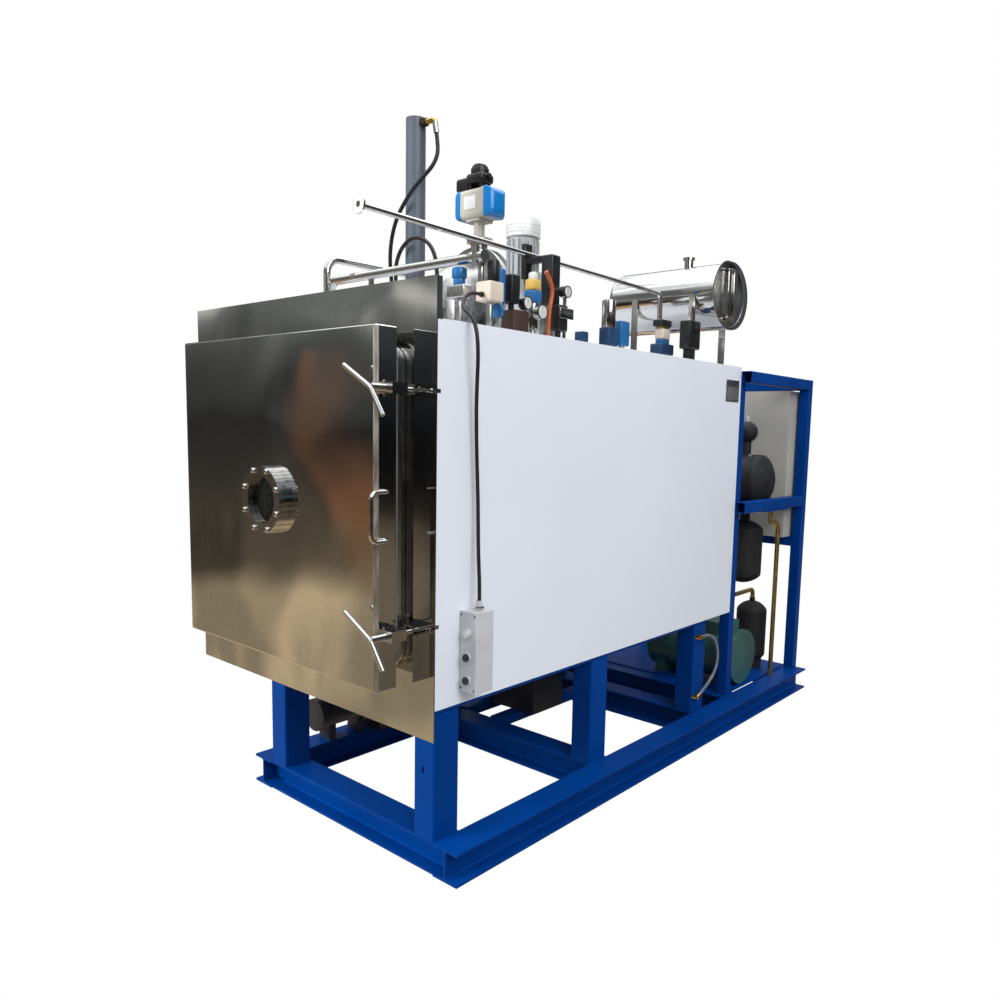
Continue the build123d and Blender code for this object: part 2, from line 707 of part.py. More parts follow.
with BuildPart() as cold_trap:
    vessel((centre_x, trap_front + 30, trap_height), inward, trap_radius, trap_length, 30)
    drum((centre_x, duct_rear_y, trap_height), (0, 0, 1), duct_radius, nozzle_top - trap_height)
    drum((centre_x, duct_rear_y, nozzle_top - 16), (0, 0, 1), duct_radius + 28, 16)
    for y in cross_bearer_ys[2:]:
        middle = y + cross_bearer / 2
        block((centre_x - 240, centre_x + 240), (middle - 6, middle + 6), (stand_top, trap_height - 150))
        block((centre_x - 240, centre_x + 240), (middle - 30, middle + 30), (stand_top, stand_top + 10))
    inside = trap_radius - trap_wall
    vessel((centre_x, trap_front + 30, trap_height), inward, inside, trap_length, 22, mode=Mode.SUBTRACT)
    drum((centre_x, duct_rear_y, trap_height), (0, 0, 1), duct_radius - duct_wall, 400, mode=Mode.SUBTRACT)
save("cold_trap", cold_trap.part)

valve_low = duct_front_y + duct_bend + 5
valve_high = valve_low + 60
duct_flange = 15.0

with BuildPart() as vapour_duct:
    for ends in (((duct_front_y, chamber_top), valve_low), ((duct_rear_y, nozzle_top), valve_high)):
        (leg_y, foot), face = ends
        route = [(centre_x, leg_y, foot), (centre_x, leg_y, duct_height), (centre_x, face, duct_height)]
        pipe(route, duct_bend, duct_radius, duct_radius - duct_wall)
    for face in (valve_low, valve_high - duct_flange):
        ring((centre_x, face, duct_height), inward, valve_ring / 2, duct_radius - duct_wall, duct_flange)
    ring((centre_x, duct_rear_y, nozzle_top), (0, 0, 1), duct_radius + 28, duct_radius - duct_wall, 16)
save("vapour_duct", vapour_duct.part)

body_low = valve_low + duct_flange
body_high = valve_high - duct_flange
valve_y = (valve_low + valve_high) / 2
neck_top = duct_height + valve_ring / 2 + 30
bonnet_top = neck_top + 60

with BuildPart() as butterfly_valve_body:
    drum((centre_x, body_low, duct_height), inward, valve_ring / 2 - 8, body_high - body_low)
    foot = duct_height + valve_ring / 2 - 30
    block((centre_x - 28, centre_x + 28), (body_low, body_high), (foot, neck_top - 12))
    drum((centre_x, valve_y, neck_top - 12), (0, 0, 1), 45, 12)
    drum((centre_x, body_low, duct_height), inward, duct_radius - duct_wall, 60, mode=Mode.SUBTRACT)
    hole = valve_stem / 2 - 3 + running
    drum((centre_x, valve_y, duct_height), (0, 0, 1), hole, neck_top - duct_height, mode=Mode.SUBTRACT)
save("butterfly_valve_body", butterfly_valve_body.part)

actuator_height = duct_height + 316
actuator_size = 104.0
actuator_deep = 95.0
cap_length = 46.0
switch_low = actuator_height + actuator_size / 2

with BuildPart() as butterfly_disc:
    drum((centre_x, valve_y - 6, duct_height), inward, duct_radius - duct_wall - 0.5, 12)
    stem_low = duct_height - (duct_radius - duct_wall - 11.5)
    drum((centre_x, valve_y, stem_low), (0, 0, 1), valve_stem / 2 - 3, actuator_height - stem_low)
save("butterfly_disc", butterfly_disc.part)

with BuildPart() as actuator_body:
    body_left = Plane(
        origin=(centre_x - actuator_size / 2, valve_y, actuator_height), x_dir=(0, 1, 0), z_dir=(1, 0, 0)
    )
    rounded_block(body_left, actuator_deep, actuator_size, 18, actuator_size)
    drum((centre_x, valve_y, neck_top), (0, 0, 1), 20, switch_low - actuator_size - neck_top + 5)
    for z in (neck_top, switch_low - actuator_size - 8):
        block((centre_x - 35, centre_x + 35), (valve_y - 35, valve_y + 35), (z, z + 8))
    block((centre_x - 30, centre_x + 30), (valve_y - 49, valve_y - 40), (actuator_height - 22, actuator_height + 22))
    hole_length = actuator_height + 6 - neck_top
    drum((centre_x, valve_y, neck_top), (0, 0, 1), hole, hole_length, mode=Mode.SUBTRACT)
save("actuator_body", actuator_body.part)

with BuildPart() as actuator_end_caps:
    for turn in (-1, 1):
        cap_x = centre_x + turn * actuator_size / 2
        cap_plane = Plane(origin=(cap_x, valve_y, actuator_height), x_dir=(0, 1, 0), z_dir=(turn, 0, 0))
        rounded_block(cap_plane, actuator_deep, actuator_size, 18, 12)
        drum((cap_x, valve_y, actuator_height), (turn, 0, 0), 46, cap_length)
        rim = actuator_end_caps.edges().sort_by(Axis.X)[-1 if turn > 0 else 0]
        fillet(rim, radius=26)
save("actuator_end_caps", actuator_end_caps.part)

with BuildPart() as position_box:
    for x in (centre_x - 30, centre_x + 22):
        block((x, x + 8), (valve_y - 25, valve_y + 25), (switch_low, switch_low + 23))
    block((centre_x - 40, centre_x + 40), (valve_y - 35, valve_y + 35), (switch_low + 23, switch_low + 58))
    drum((centre_x, valve_y, switch_low + 58), (0, 0, 1), 31, 35)
    fillet(position_box.edges().sort_by(Axis.Z)[-1], radius=16)
    block((centre_x - 102, centre_x - 39), (valve_y - 25, valve_y + 25), (switch_low + 3, switch_low + 52))
    drum((centre_x + 39, valve_y, switch_low + 46), (1, 0, 0), 9, 12)
save("position_box", position_box.part)

# ---------------------------------------------------------------- roof machinery
pump_x = side_x - 280
pump_y = valve_y - 15
motor_radius = 57.5
motor_low = roof_top + 170
motor_high = motor_low + 195
cover_high = motor_high + 72
cover_radius = 60.0

with BuildPart() as circulation_pump:
    drum((pump_x, pump_y, roof_top), (0, 0, 1), motor_radius, 12)
    drum((pump_x, pump_y, roof_top), (0, 0, 1), 40, motor_low - roof_top)
    drum((pump_x, pump_y, roof_top + 40), (0, 0, 1), motor_radius - 4, 60)
    drum((pump_x, pump_y, motor_low - 14), (0, 0, 1), motor_radius, 14)
    drum((pump_x, pump_y, motor_low), (0, 0, 1), motor_radius - 8, motor_high - motor_low)
    for turn in range(16):
        angle = turn * pi / 8
        x_way = Vector(cos(angle), sin(angle), 0)
        with BuildSketch(Plane(origin=(pump_x, pump_y, motor_low + 10), x_dir=x_way, z_dir=(0, 0, 1))) as fin:
            with Locations((motor_radius - 6, 0)):
                Rectangle(12, 4)
        extrude(fin.sketch, amount=motor_high - motor_low - 20)
    block((pump_x + 40, pump_x + 72), (pump_y - 30, pump_y + 30), (motor_low + 20, motor_low + 75))
    drum((pump_x, pump_y, roof_top + 70), (1, 0, 0), 24, 66)
save("circulation_pump", circulation_pump.part)

with BuildPart() as motor_fan_cover:
    drum((pump_x, pump_y, motor_high), (0, 0, 1), cover_radius, cover_high - motor_high)
    fillet(motor_fan_cover.edges().sort_by(Axis.Z)[-1], radius=30)
save("motor_fan_cover", motor_fan_cover.part)



def on_roof(*shapes):
    """One solid of blocks, round bars and pipes, measured from the roof's front right corner."""
    with BuildPart() as fitting:
        for kind, *size in shapes:
            if kind == "block":
                low_high = [tuple(at + c for c in pair) for at, pair in zip((side_x, front_y, roof_top), size)]
                block(*low_high)
            elif kind == "drum":
                (x, y, z), *rest = size
                drum((side_x + x, front_y + y, roof_top + z), *rest)
            else:
                points, bends, radius = size
                pipe([(side_x + x, front_y + y, roof_top + z) for x, y, z in points], bends, radius)
    return fitting.part.solids()


up = (0, 0, 1)
toward_door = (0, -1, 0)
away = (0, 1, 0)
rightward = (1, 0, 0)
manifold_solids = [
    # angle valve on its stem, and its blue bonnet
    on_roof(
        ("block", (-207, -133), (225, 265), (96, 136)),
        ("drum", (-170, 245, 0), up, 14, 100),
        ("drum", (-170, 245, 0), up, 30, 8),
    ),
    on_roof(("drum", (-170, 245, 136), up, 18, 21), ("drum", (-170, 245, 157), up, 23, 32)),
    # junction box on a post, its gland and the coil on top
    on_roof(("block", (-110, -48), (254, 314), (84, 142))),
    on_roof(("drum", (-79, 284, 0), up, 10, 84)),
    on_roof(("drum", (-80, 246, 102), away, 8, 8)),
    on_roof(("drum", (-67, 285, 142), up, 17.5, 61)),
    # tee on the end of the cross pipe
    on_roof(("drum", (-95, 262, 142), up, 9, 48)),
    # blue valve with its round disc
    on_roof(
        ("block", (-92, -68), (318, 342), (87, 189)),
        ("drum", (-80, 330, 0), up, 8, 90),
        ("drum", (-80, 315, 63), away, 22, 12),
    ),
    # brown box, and the black rack that stands on it
    on_roof(("block", (-120, -55), (366, 438), (0, 73))),
    on_roof(("block", (-100, -60), (360, 401), (92, 179)), ("drum", (-80, 380, 73), up, 9, 25)),
    # filter column
    on_roof(("drum", (-100, 505, 0), up, 9, 30), ("drum", (-100, 505, 30), up, 18, 81)),
    on_roof(("block", (-122, -78), (483, 527), (111, 151))),
    on_roof(("block", (-120, -80), (485, 525), (151, 186))),
    on_roof(("drum", (-100, 505, 186), up, 15, 23)),
    # bent orange tube
    on_roof(("pipe", [(-80, 545, 216), (-80, 582, 164), (-80, 562, 90), (-80, 562, 0)], [25, 40], 7)),
    # black solenoid group, its silver plate and the arm that holds the vent pipe
    on_roof(
        ("drum", (-80, 612, 0), up, 10, 34),
        ("block", (-104, -56), (588, 636), (32, 117)),
        ("block", (-140, -92), (588, 636), (117, 282)),
        ("block", (-228, -139), (592, 620), (262, 282)),
        ("block", (-228, -209), (587, 625), (212, 329)),
    ),
    on_roof(("block", (-56, -50), (587, 657), (73, 107))),
    on_roof(("block", (-100, -60), (727, 757), (0, 46))),
    # canister on its dark base
    on_roof(("block", (-224, -176), (1037, 1096), (0, 102))),
    on_roof(("drum", (-200, 1066, 102), up, 27, 105)),
    on_roof(("block", (-218, -182), (1127, 1187), (41, 137)), ("drum", (-200, 1157, 0), up, 12, 45)),
    # regulator under the end of the vent pipe
    on_roof(("block", (-230, -170), (1408, 1505), (32, 77)), ("drum", (-200, 1456, 0), up, 12, 34)),
    on_roof(("block", (-218, -182), (1430, 1482), (77, 96))),
    on_roof(("block", (-222, -178), (1426, 1485), (96, 140))),
    on_roof(("block", (-218, -182), (1430, 1482), (140, 147))),
    on_roof(("block", (-223, -176), (1412, 1492), (147, 176))),
    # black valve block beside it, with a round knob
    on_roof(
        ("block", (-105, -55), (1432, 1522), (52, 167)),
        ("block", (-95, -65), (1450, 1500), (0, 52)),
        ("drum", (-56, 1477, 130), rightward, 14, 11),
    ),
]
save("valve_manifold", Compound([solid for solids in manifold_solids for solid in solids]))

gauge_solids = [
    on_roof(("drum", (-72, 424, 98), rightward, 21, 22), ("drum", (-61, 424, 73), up, 6, 20)),
    on_roof(("drum", (-78, 505, 81), rightward, 24, 20), ("drum", (-82, 505, 81), rightward, 6, 6)),
    on_roof(("drum", (-91, 645, 165), rightward, 20, 22), ("drum", (-80, 645, 0), up, 6, 160)),
]
save("pressure_gauges", Compound([solid for solids in gauge_solids for solid in solids]))

vent_x = side_x - 200
vent_z = roof_top + 300
vent_end = casing_rear - 372

with BuildPart() as vent_pipe:
    start = (vent_x, flange_y + 2, vent_z)
    drum(start, inward, 25, 6)
    route = [start, (vent_x, vent_end, vent_z - 19), (vent_x, vent_end, vent_z - 70)]
    pipe(route, 25, 8.5)
    drum((vent_x, vent_end, roof_top + 176), (0, 0, 1), 11, 60)
save("vent_pipe", vent_pipe.part)

union_places = ((centre_x - 90, front_y + 345), (centre_x - 38, front_y + 318), (centre_x + 166, front_y + 318))

cross_z = roof_top + 211
cross_foot = (side_x - 833, front_y + 250)
side_top = roof_top + 272
side_ys = (front_y + 180, front_y + 900)
bend_leg = 60.0


def corner(foot, sideways, radius, size):
    """Adds a bent corner of pipe from the top of a leg at foot, rising bend_leg and then running sideways."""
    x, y, z = foot
    over = (x + bend_leg * sideways[0], y + bend_leg * sideways[1], z + bend_leg)
    pipe([foot, (x, y, z + bend_leg), over], radius, size)


# Straight runs and bends are pipe fittings of their own, welded end to end.
with BuildPart() as pipe_bends:
    corner((*cross_foot, cross_z - bend_leg), (1, 0), 45, 15)
    for y, way in zip(side_ys, (1, -1)):
        corner((side_x - 750, y, side_top - bend_leg), (0, way), 50, 12)

with BuildPart() as pipe_legs:
    drum((*cross_foot, roof_top), (0, 0, 1), 15, cross_z - bend_leg - roof_top)
    for y in side_ys:
        drum((side_x - 750, y, roof_top), (0, 0, 1), 12, side_top - bend_leg - roof_top)

with BuildPart() as process_pipes:
    drum((cross_foot[0] + bend_leg, cross_foot[1], cross_z), (1, 0, 0), 15, 719 - bend_leg)
    drum((side_x - 120, front_y + 250, cross_z), (1, 0, 0), 19, 52)
    drum((side_x - 95, front_y + 250, cross_z - 21), (0, 0, 1), 20, 52)
    run = side_ys[1] - side_ys[0] - 2 * bend_leg
    drum((side_x - 750, side_ys[0] + bend_leg, side_top), (0, 1, 0), 12, run)
    for x, y in union_places:
        hexagon((x, y, roof_top), (0, 0, 1), 14, 22)
        drum((x, y, roof_top + 22), (0, 0, 1), 9, 12)
    block((side_x - 606, side_x - 594), (front_y + 243, front_y + 257), (roof_top, cross_z - 10))
pipe_groups = (process_pipes, pipe_bends, pipe_legs)
save("process_pipes", Compound([pipe_solid for group in pipe_groups for pipe_solid in group.part.solids()]))

tank_y = casing_rear - 90
tank_z = roof_top + 156 + tank_diameter / 2
tank_right = side_x - 16
tank_radius = tank_diameter / 2
tank_head = 57.0
tank_shoulder = tank_right - tank_length + tank_head + 3
nozzle_x = tank_right - 220

with BuildPart() as water_tank:
    vessel((tank_shoulder, tank_y, tank_z), (1, 0, 0), tank_radius, 300, tank_head)
    drum((tank_shoulder + 200, tank_y, tank_z), (1, 0, 0), tank_radius, tank_right - tank_shoulder - 200)
    drum((tank_right - 14, tank_y, tank_z), (1, 0, 0), tank_radius + 3.5, 14)
    end_plane = Plane(origin=(tank_right, tank_y, tank_z), x_dir=(0, 1, 0), z_dir=(1, 0, 0))
    rounded_block(end_plane, 60, 230, 29, 6)
    drum((nozzle_x, tank_y, tank_z), (0, 0, 1), 19, tank_radius + 45)
    drum((nozzle_x, tank_y, tank_z + tank_radius + 35), (0, 0, 1), 26, 10)
    for x in (tank_right - 114, tank_right - 404):
        for y, foot in ((tank_y - tank_radius - 4, roof_top), (tank_y + tank_radius - 5, bay_top)):
            block((x - 15, x + 15), (y, y + 6), (foot, tank_z))
save("water_tank", water_tank.part)

# ---------------------------------------------------------------- rear bay machinery
cabinet_left = side_x - 610
cabinet_front = rear_y - 20 - cabinet_depth
cabinet_rear = cabinet_front + cabinet_depth
leaf = 18.0

with BuildPart() as electric_cabinet:
    block(
        (cabinet_left, cabinet_left + cabinet_width),
        (cabinet_front, cabinet_rear),
        (cabinet_low, cabinet_low + cabinet_height),
    )
    block(
        (cabinet_left + 2, cabinet_left + cabinet_width - 2),
        (cabinet_front + 2, cabinet_rear),
        (cabinet_low + 2, cabinet_low + cabinet_height - 2),
        mode=Mode.SUBTRACT,
    )
    block(
        (cabinet_left + 40, cabinet_left + cabinet_width - 40),
        (cabinet_front + 2, cabinet_front + 20),
        (cabinet_low + 40, cabinet_low + cabinet_height - 40),
    )
    for z in (cabinet_low + 110, cabinet_low + cabinet_height - 150):
        drum((cabinet_left - 8, cabinet_rear + 9, z), (0, 0, 1), 4, 44)
        block((cabinet_left - 12, cabinet_left), (cabinet_rear - 20, cabinet_rear + 13), (z - 8, z))
        block((cabinet_left - 12, cabinet_left), (cabinet_rear - 20, cabinet_rear + 13), (z + 44, z + 52))
save("electric_cabinet", electric_cabinet.part)

with BuildPart() as cabinet_door:
    block(
        (cabinet_left + 2, cabinet_left + cabinet_width - 2),
        (cabinet_rear + 2, cabinet_rear + leaf),
        (cabinet_low + 2, cabinet_low + cabinet_height),
    )
    for z in (cabinet_low + 110, cabinet_low + cabinet_height - 150):
        block((cabinet_left - 8, cabinet_left + 2), (cabinet_rear + 5, cabinet_rear + 13), (z + 2, z + 42))
        drum((cabinet_left - 8, cabinet_rear + 9, z + 2), (0, 0, 1), 7, 40)
        drum((cabinet_left - 8, cabinet_rear + 9, z), (0, 0, 1), 4 + running, 44, mode=Mode.SUBTRACT)
save("cabinet_door", cabinet_door.part)

machine_z = floor_top
green_y = casing_rear + 200
green_z = machine_z + 134

with BuildPart() as compressor:
    drum((side_x - 480, green_y, green_z), (1, 0, 0), 120, 440)
    drum((side_x - 40, green_y, green_z), (1, 0, 0), 130, 20)
    drum((side_x - 300, green_y, green_z), (1, 0, 0), 130, 20)
    block((side_x - 400, side_x - 280), (green_y - 70, green_y + 70), (green_z, green_z + 175))
    block((side_x - 200, side_x - 80), (green_y - 70, green_y + 70), (green_z, green_z + 160))
    for x in (side_x - 440, side_x - 110):
        block((x, x + 50), (green_y - 95, green_y + 95), (machine_z, green_z - 60))
save("compressor", compressor.part)

vessel_radius = 125.0
vessel_z = mid_rail + vessel_radius + 6
separator_y = rear_y - 180
upright = (side_x - 118, casing_rear + 350)

with BuildPart() as insulated_vessels:
    vessel((side_x - 538, vessel_y, vessel_z), (1, 0, 0), vessel_radius, 500, 50)
    for x in (side_x - 480, side_x - 140):
        block((x - 6, x + 6), (vessel_y - 90, vessel_y + 90), (mid_rail, vessel_z - 80))
    drum((side_x - 130, vessel_y, vessel_z), (0, 0, 1), 24, 190)
    with Locations((side_x - 130, vessel_y, vessel_z + 232)):
        Sphere(52)
    vessel((side_x - 130, separator_y, machine_z + 70), (0, 0, 1), 75, 230, 45)
    drum((side_x - 130, separator_y, machine_z), (0, 0, 1), 60, 70)
    drum((side_x - 130, separator_y, machine_z + 300), (0, 0, 1), 14, 61)
    vessel((*upright, mid_rail - 335), (0, 0, 1), 90, 230, 40)
    drum((*upright, mid_rail - 75), (0, 0, 1), 24, 69)
save("insulated_vessels", insulated_vessels.part)

with BuildPart() as refrigerant_pipes:
    route = [
        (side_x - 130, green_y + 30, green_z + 160),
        (side_x - 130, green_y + 30, machine_z + 404),
        (side_x - 130, separator_y, machine_z + 404),
        (side_x - 130, separator_y, machine_z + 361),
    ]
    pipe(route, [40, 25], 11)
    route = [
        (side_x + 15, casing_rear + 445, machine_z - 6),
        (side_x + 15, casing_rear + 445, mid_rail - 70),
        (side_x + 15, vessel_y, mid_rail - 70),
        (side_x + 15, vessel_y, mid_rail - 6),
    ]
    pipe(route, [40, 35], 11)
save("refrigerant_pipes", refrigerant_pipes.part)

# ---------------------------------------------------------------- vacuum pump under the chamber
vacuum_y = front_y + 1080
vacuum_z = machine_z + 125
blower_x = base_inner_left - 15
blower_y = front_y + 190
blower_z = beam + 115

with BuildPart() as pump_unit:
    left = pump_bearer_xs[0] - 35
    drum((left - 40, vacuum_y, vacuum_z), (1, 0, 0), 80, 150)
    block((left + 105, left + 330), (vacuum_y - 95, vacuum_y + 95), (machine_z, vacuum_z + 95))
    block((left, left + 60), (vacuum_y - 75, vacuum_y + 75), (machine_z, vacuum_z))
    drum((left + 200, vacuum_y, vacuum_z + 95), (0, 0, 1), 32, 60)
    drum((left + 200, vacuum_y, vacuum_z + 155), (0, 0, 1), 45, 12)

with BuildPart() as blower_unit:
    drum((blower_x, blower_y, blower_z), (0, 1, 0), 61, 34)
    drum((blower_x, blower_y + 34, blower_z), (0, 1, 0), 55, 220)
    block((blower_x - 62, blower_x + 62), (blower_y + 254, blower_y + 374), (beam, blower_z + 75))
    for y in (blower_y + 60, blower_y + 190):
        block((blower_x - 55, blower_x + 10), (y, y + 30), (beam, blower_z - 30))

pump_solids = pump_unit.part.solids() + blower_unit.part.solids()
save("vacuum_pump", Compound(pump_solids))

# ---------------------------------------------------------------- control station
station_x = (side_x, side_x + 70)
station_y = (front_y + 97, front_y + 169)
station_z = (casing_bottom + 42, casing_bottom + 279)
station_wall = 4.0
button_x = side_x + 35
button_zs = (casing_bottom + 217, casing_bottom + 146, casing_bottom + 78)
button_radius = 11.0
collar_radius = 15.0
button_seat = 8.0

with BuildPart() as station_box:
    block(station_x, station_y, station_z)
    fillet(station_box.edges().filter_by(Axis.Z), radius=5)
    inner_x = (station_x[0] + station_wall, station_x[1] - station_wall)
    inner_y = (station_y[0] + station_wall, station_y[1] - station_wall)
    block(inner_x, inner_y, (station_z[0] + station_wall, station_z[1] - station_wall), mode=Mode.SUBTRACT)
    for z in button_zs:
        drum((button_x, station_y[0], z), outward, collar_radius, 6)
        drum((button_x, station_y[0] - 6, z), inward, button_radius - 2, 20, mode=Mode.SUBTRACT)
        drum((button_x, station_y[0] - 6, z), inward, button_radius + gap, button_seat, mode=Mode.SUBTRACT)
    hexagon((button_x, front_y + 142, station_z[1]), (0, 0, 1), 12, 12)
    drum((button_x, front_y + 142, station_z[1] + 12), (0, 0, 1), 9, 16)
save("station_box", station_box.part)

for name, z in zip(("lamp_button", "start_button", "stop_button"), button_zs):
    with BuildPart() as button:
        drum((button_x, station_y[0] - 11, z), inward, button_radius, 9)
        drum((button_x, station_y[0] - 11, z), inward, button_radius - 3, 26)
        drum((button_x, station_y[0] + 11, z), inward, button_radius, 4)
    save(name, button.part)

# ---------------------------------------------------------------- cords
cable_points = [
    (520, front_y + 246, 1690),
    (520, front_y + 218, 1690),
    (525, front_y + 190, 1682),
    (536, front_y + 163, 1664),
    (553, front_y + 141, 1642),
    (576, front_y + 129, 1624),
    (604, front_y + 119, 1611),
    (627, front_y + 113, 1591),
    (640, front_y + 111, 1562),
    (643, front_y + 113, 1530),
    (639, front_y + 119, 1488),
    (632, front_y + 124, 1434),
    (626, front_y + 128, 1370),
    (623, front_y + 132, 1300),
    (621, front_y + 137, 1222),
    (621, front_y + 142, 1140),
    (622, front_y + 145, 1055),
    (625, front_y + 144, 970),
    (630, front_y + 143, 900),
    (635, front_y + 142, 845),
    (635, front_y + 142, 800),
]
with BuildPart() as station_cable:
    cord("station_cable", cable_points, 5.5)
save("station_cable", station_cable.part)

hose_a_points = [
    (191, front_y + 365, 2247),
    (198, front_y + 365, 2212),
    (204, front_y + 359, 2176),
    (196, front_y + 348, 2143),
    (180, front_y + 334, 2117),
    (157, front_y + 321, 2090),
    (130, front_y + 312, 2062),
    (100, front_y + 309, 2031),
    (66, front_y + 311, 1998),
    (34, front_y + 318, 1960),
    (8, front_y + 327, 1914),
    (-8, front_y + 336, 1862),
    (-8, front_y + 342, 1802),
    (-2, front_y + 345, 1738),
    (0, front_y + 345, 1680),
    (0, front_y + 345, 1622),
]
with BuildPart() as hydraulic_hose_a:
    cord("hydraulic_hose_a", hose_a_points, 6.5)
save("hydraulic_hose_a", hydraulic_hose_a.part)

hose_b_points = [
    (52, front_y + 318, 1622),
    (52, front_y + 318, 1682),
    (52, front_y + 316, 1738),
    (51, front_y + 313, 1788),
    (51.5, front_y + 312, 1833),
    (71.7, front_y + 311, 1875),
    (108, front_y + 310, 1904),
    (147, front_y + 310, 1914),
    (192, front_y + 310, 1904),
    (230, front_y + 311, 1876),
    (251, front_y + 312, 1835),
    (256, front_y + 313, 1788),
    (256, front_y + 316, 1738),
    (256, front_y + 318, 1682),
    (256, front_y + 318, 1622),
]
with BuildPart() as hydraulic_hose_b:
    cord("hydraulic_hose_b", hose_b_points, 6.5)
save("hydraulic_hose_b", hydraulic_hose_b.part)

grey_hose_points = [
    (618, front_y + 1535, 432),
    (618, front_y + 1568, 432),
    (621, front_y + 1602, 421),
    (625, front_y + 1629, 397),
    (628, front_y + 1644, 364),
    (630, front_y + 1648, 324),
    (630, front_y + 1640, 284),
    (627, front_y + 1620, 248),
    (622, front_y + 1590, 218),
    (618, front_y + 1555, 195),
    (618, front_y + 1518, 178),
]
with BuildPart() as grey_hose:
    cord("grey_hose", grey_hose_points, 6.5)
save("grey_hose", grey_hose.part)
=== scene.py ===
# %% [markdown]
# # Freeze dryer
# The machine is a polished box chamber with a clamped door, in a white casing, on a blue welded base.
# The solids come ready made and in place. Here they get their finishes. A few of them are modelled
# again with the rounded edges of moulded and turned parts, and small pieces are added on top.

# %% Load the machine's solids
import math

import bmesh
import bpy
from mathutils import Matrix, Vector


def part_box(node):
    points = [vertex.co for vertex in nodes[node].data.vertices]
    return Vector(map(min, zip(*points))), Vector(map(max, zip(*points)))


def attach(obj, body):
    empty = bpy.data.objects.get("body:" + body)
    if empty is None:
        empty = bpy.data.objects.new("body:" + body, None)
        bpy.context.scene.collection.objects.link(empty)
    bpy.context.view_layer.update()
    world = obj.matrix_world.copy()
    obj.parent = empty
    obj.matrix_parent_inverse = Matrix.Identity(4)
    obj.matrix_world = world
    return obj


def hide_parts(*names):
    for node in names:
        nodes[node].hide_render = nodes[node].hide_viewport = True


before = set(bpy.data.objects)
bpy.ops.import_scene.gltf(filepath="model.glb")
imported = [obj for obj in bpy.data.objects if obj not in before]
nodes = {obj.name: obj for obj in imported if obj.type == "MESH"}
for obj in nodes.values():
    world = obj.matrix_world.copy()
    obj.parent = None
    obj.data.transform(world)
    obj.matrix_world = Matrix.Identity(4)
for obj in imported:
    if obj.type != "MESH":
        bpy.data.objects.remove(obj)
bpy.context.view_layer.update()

# %% [markdown]
# ## Camera
# The camera stands by the front right corner at about chest height. Its lens is a moderate
# wide angle, which is why the near corner of the base looks large and the rear bay small. The camera
# leans down a little and is hardly tilted. Its matrix is written from those angles, because that says
# plainly where it looks, and a Track To constraint would leave no lean.

# %% Camera
SENSOR_MM = 36.0
FOCAL_MM = 28.888344
camera_place = Vector((2.238, -2.618, 1.295))
turn, lean, roll = math.radians(39.803), math.radians(6.562), math.radians(1.368)
ahead = Vector((-math.sin(turn) * math.cos(lean), math.cos(turn) * math.cos(lean), -math.sin(lean)))
level_right = Vector((math.cos(turn), math.sin(turn), 0))
level_up = level_right.cross(ahead)
cam_right = level_right * math.cos(roll) + level_up * math.sin(roll)
cam_up = level_up * math.cos(roll) - level_right * math.sin(roll)
lens_data = bpy.data.cameras.new("camera")
lens_data.sensor_width = SENSOR_MM
lens_data.lens = FOCAL_MM
lens_data.shift_x = -0.0443
lens_data.shift_y = 0.0223
camera = bpy.data.objects.new("camera", lens_data)
bpy.context.collection.objects.link(camera)
spin = Matrix((cam_right, cam_up, -ahead)).transposed().to_4x4()
camera.matrix_world = Matrix.Translation(camera_place) @ spin
bpy.context.scene.camera = camera
bpy.context.scene.view_settings.view_transform = "Standard"
print("camera at", [round(v, 2) for v in camera_place], "lens", round(lens_data.lens, 2))

# %% [markdown]
# ## Cords
# Four flexible lines hang on the machine: the cable of the control station, two hydraulic hoses by
# the press cylinder, and a grey hose low at the side. Each is one smooth NURBS curve through the
# same route as its solid. Order 3 with clamped ends keeps the line inside its control points.

# %% Cord helpers
# The y of the front surround's outer face, from which places towards the rear are measured.
FRONT = -1.122


def smooth_line(name, points, radius, steps, roundness):
    """A NURBS line of order 3 with clamped ends, given a round section."""
    curve = bpy.data.curves.new(name, "CURVE")
    curve.dimensions = "3D"
    spline = curve.splines.new("NURBS")
    spline.points.add(len(points) - 1)
    for point, place in zip(spline.points, points):
        point.co = (*place, 1.0)
    spline.order_u = 3
    spline.use_endpoint_u = True
    curve.resolution_u = steps
    curve.bevel_depth = radius
    curve.bevel_resolution = roundness
    curve.use_fill_caps = True
    piece = bpy.data.objects.new(name, curve)
    bpy.context.collection.objects.link(piece)
    return piece


def middle_length(piece):
    """The length of the line in the middle of a cord, measured without its thickness."""
    bare = piece.copy()
    bare.data = piece.data.copy()
    bare.data.bevel_depth = 0
    line = bpy.data.meshes.new_from_object(bare)
    ends = [[line.vertices[end].co for end in edge.vertices] for edge in line.edges]
    bpy.data.objects.remove(bare)
    return sum((first - last).length for first, last in ends)


def hose(name, points, diameter, solid):
    piece = smooth_line(name, points, diameter / 2, steps=12, roundness=6)
    length = middle_length(piece)
    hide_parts(solid)
    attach(piece, "frame")
    print(name, "length", round(length, 3), "m")
    return piece


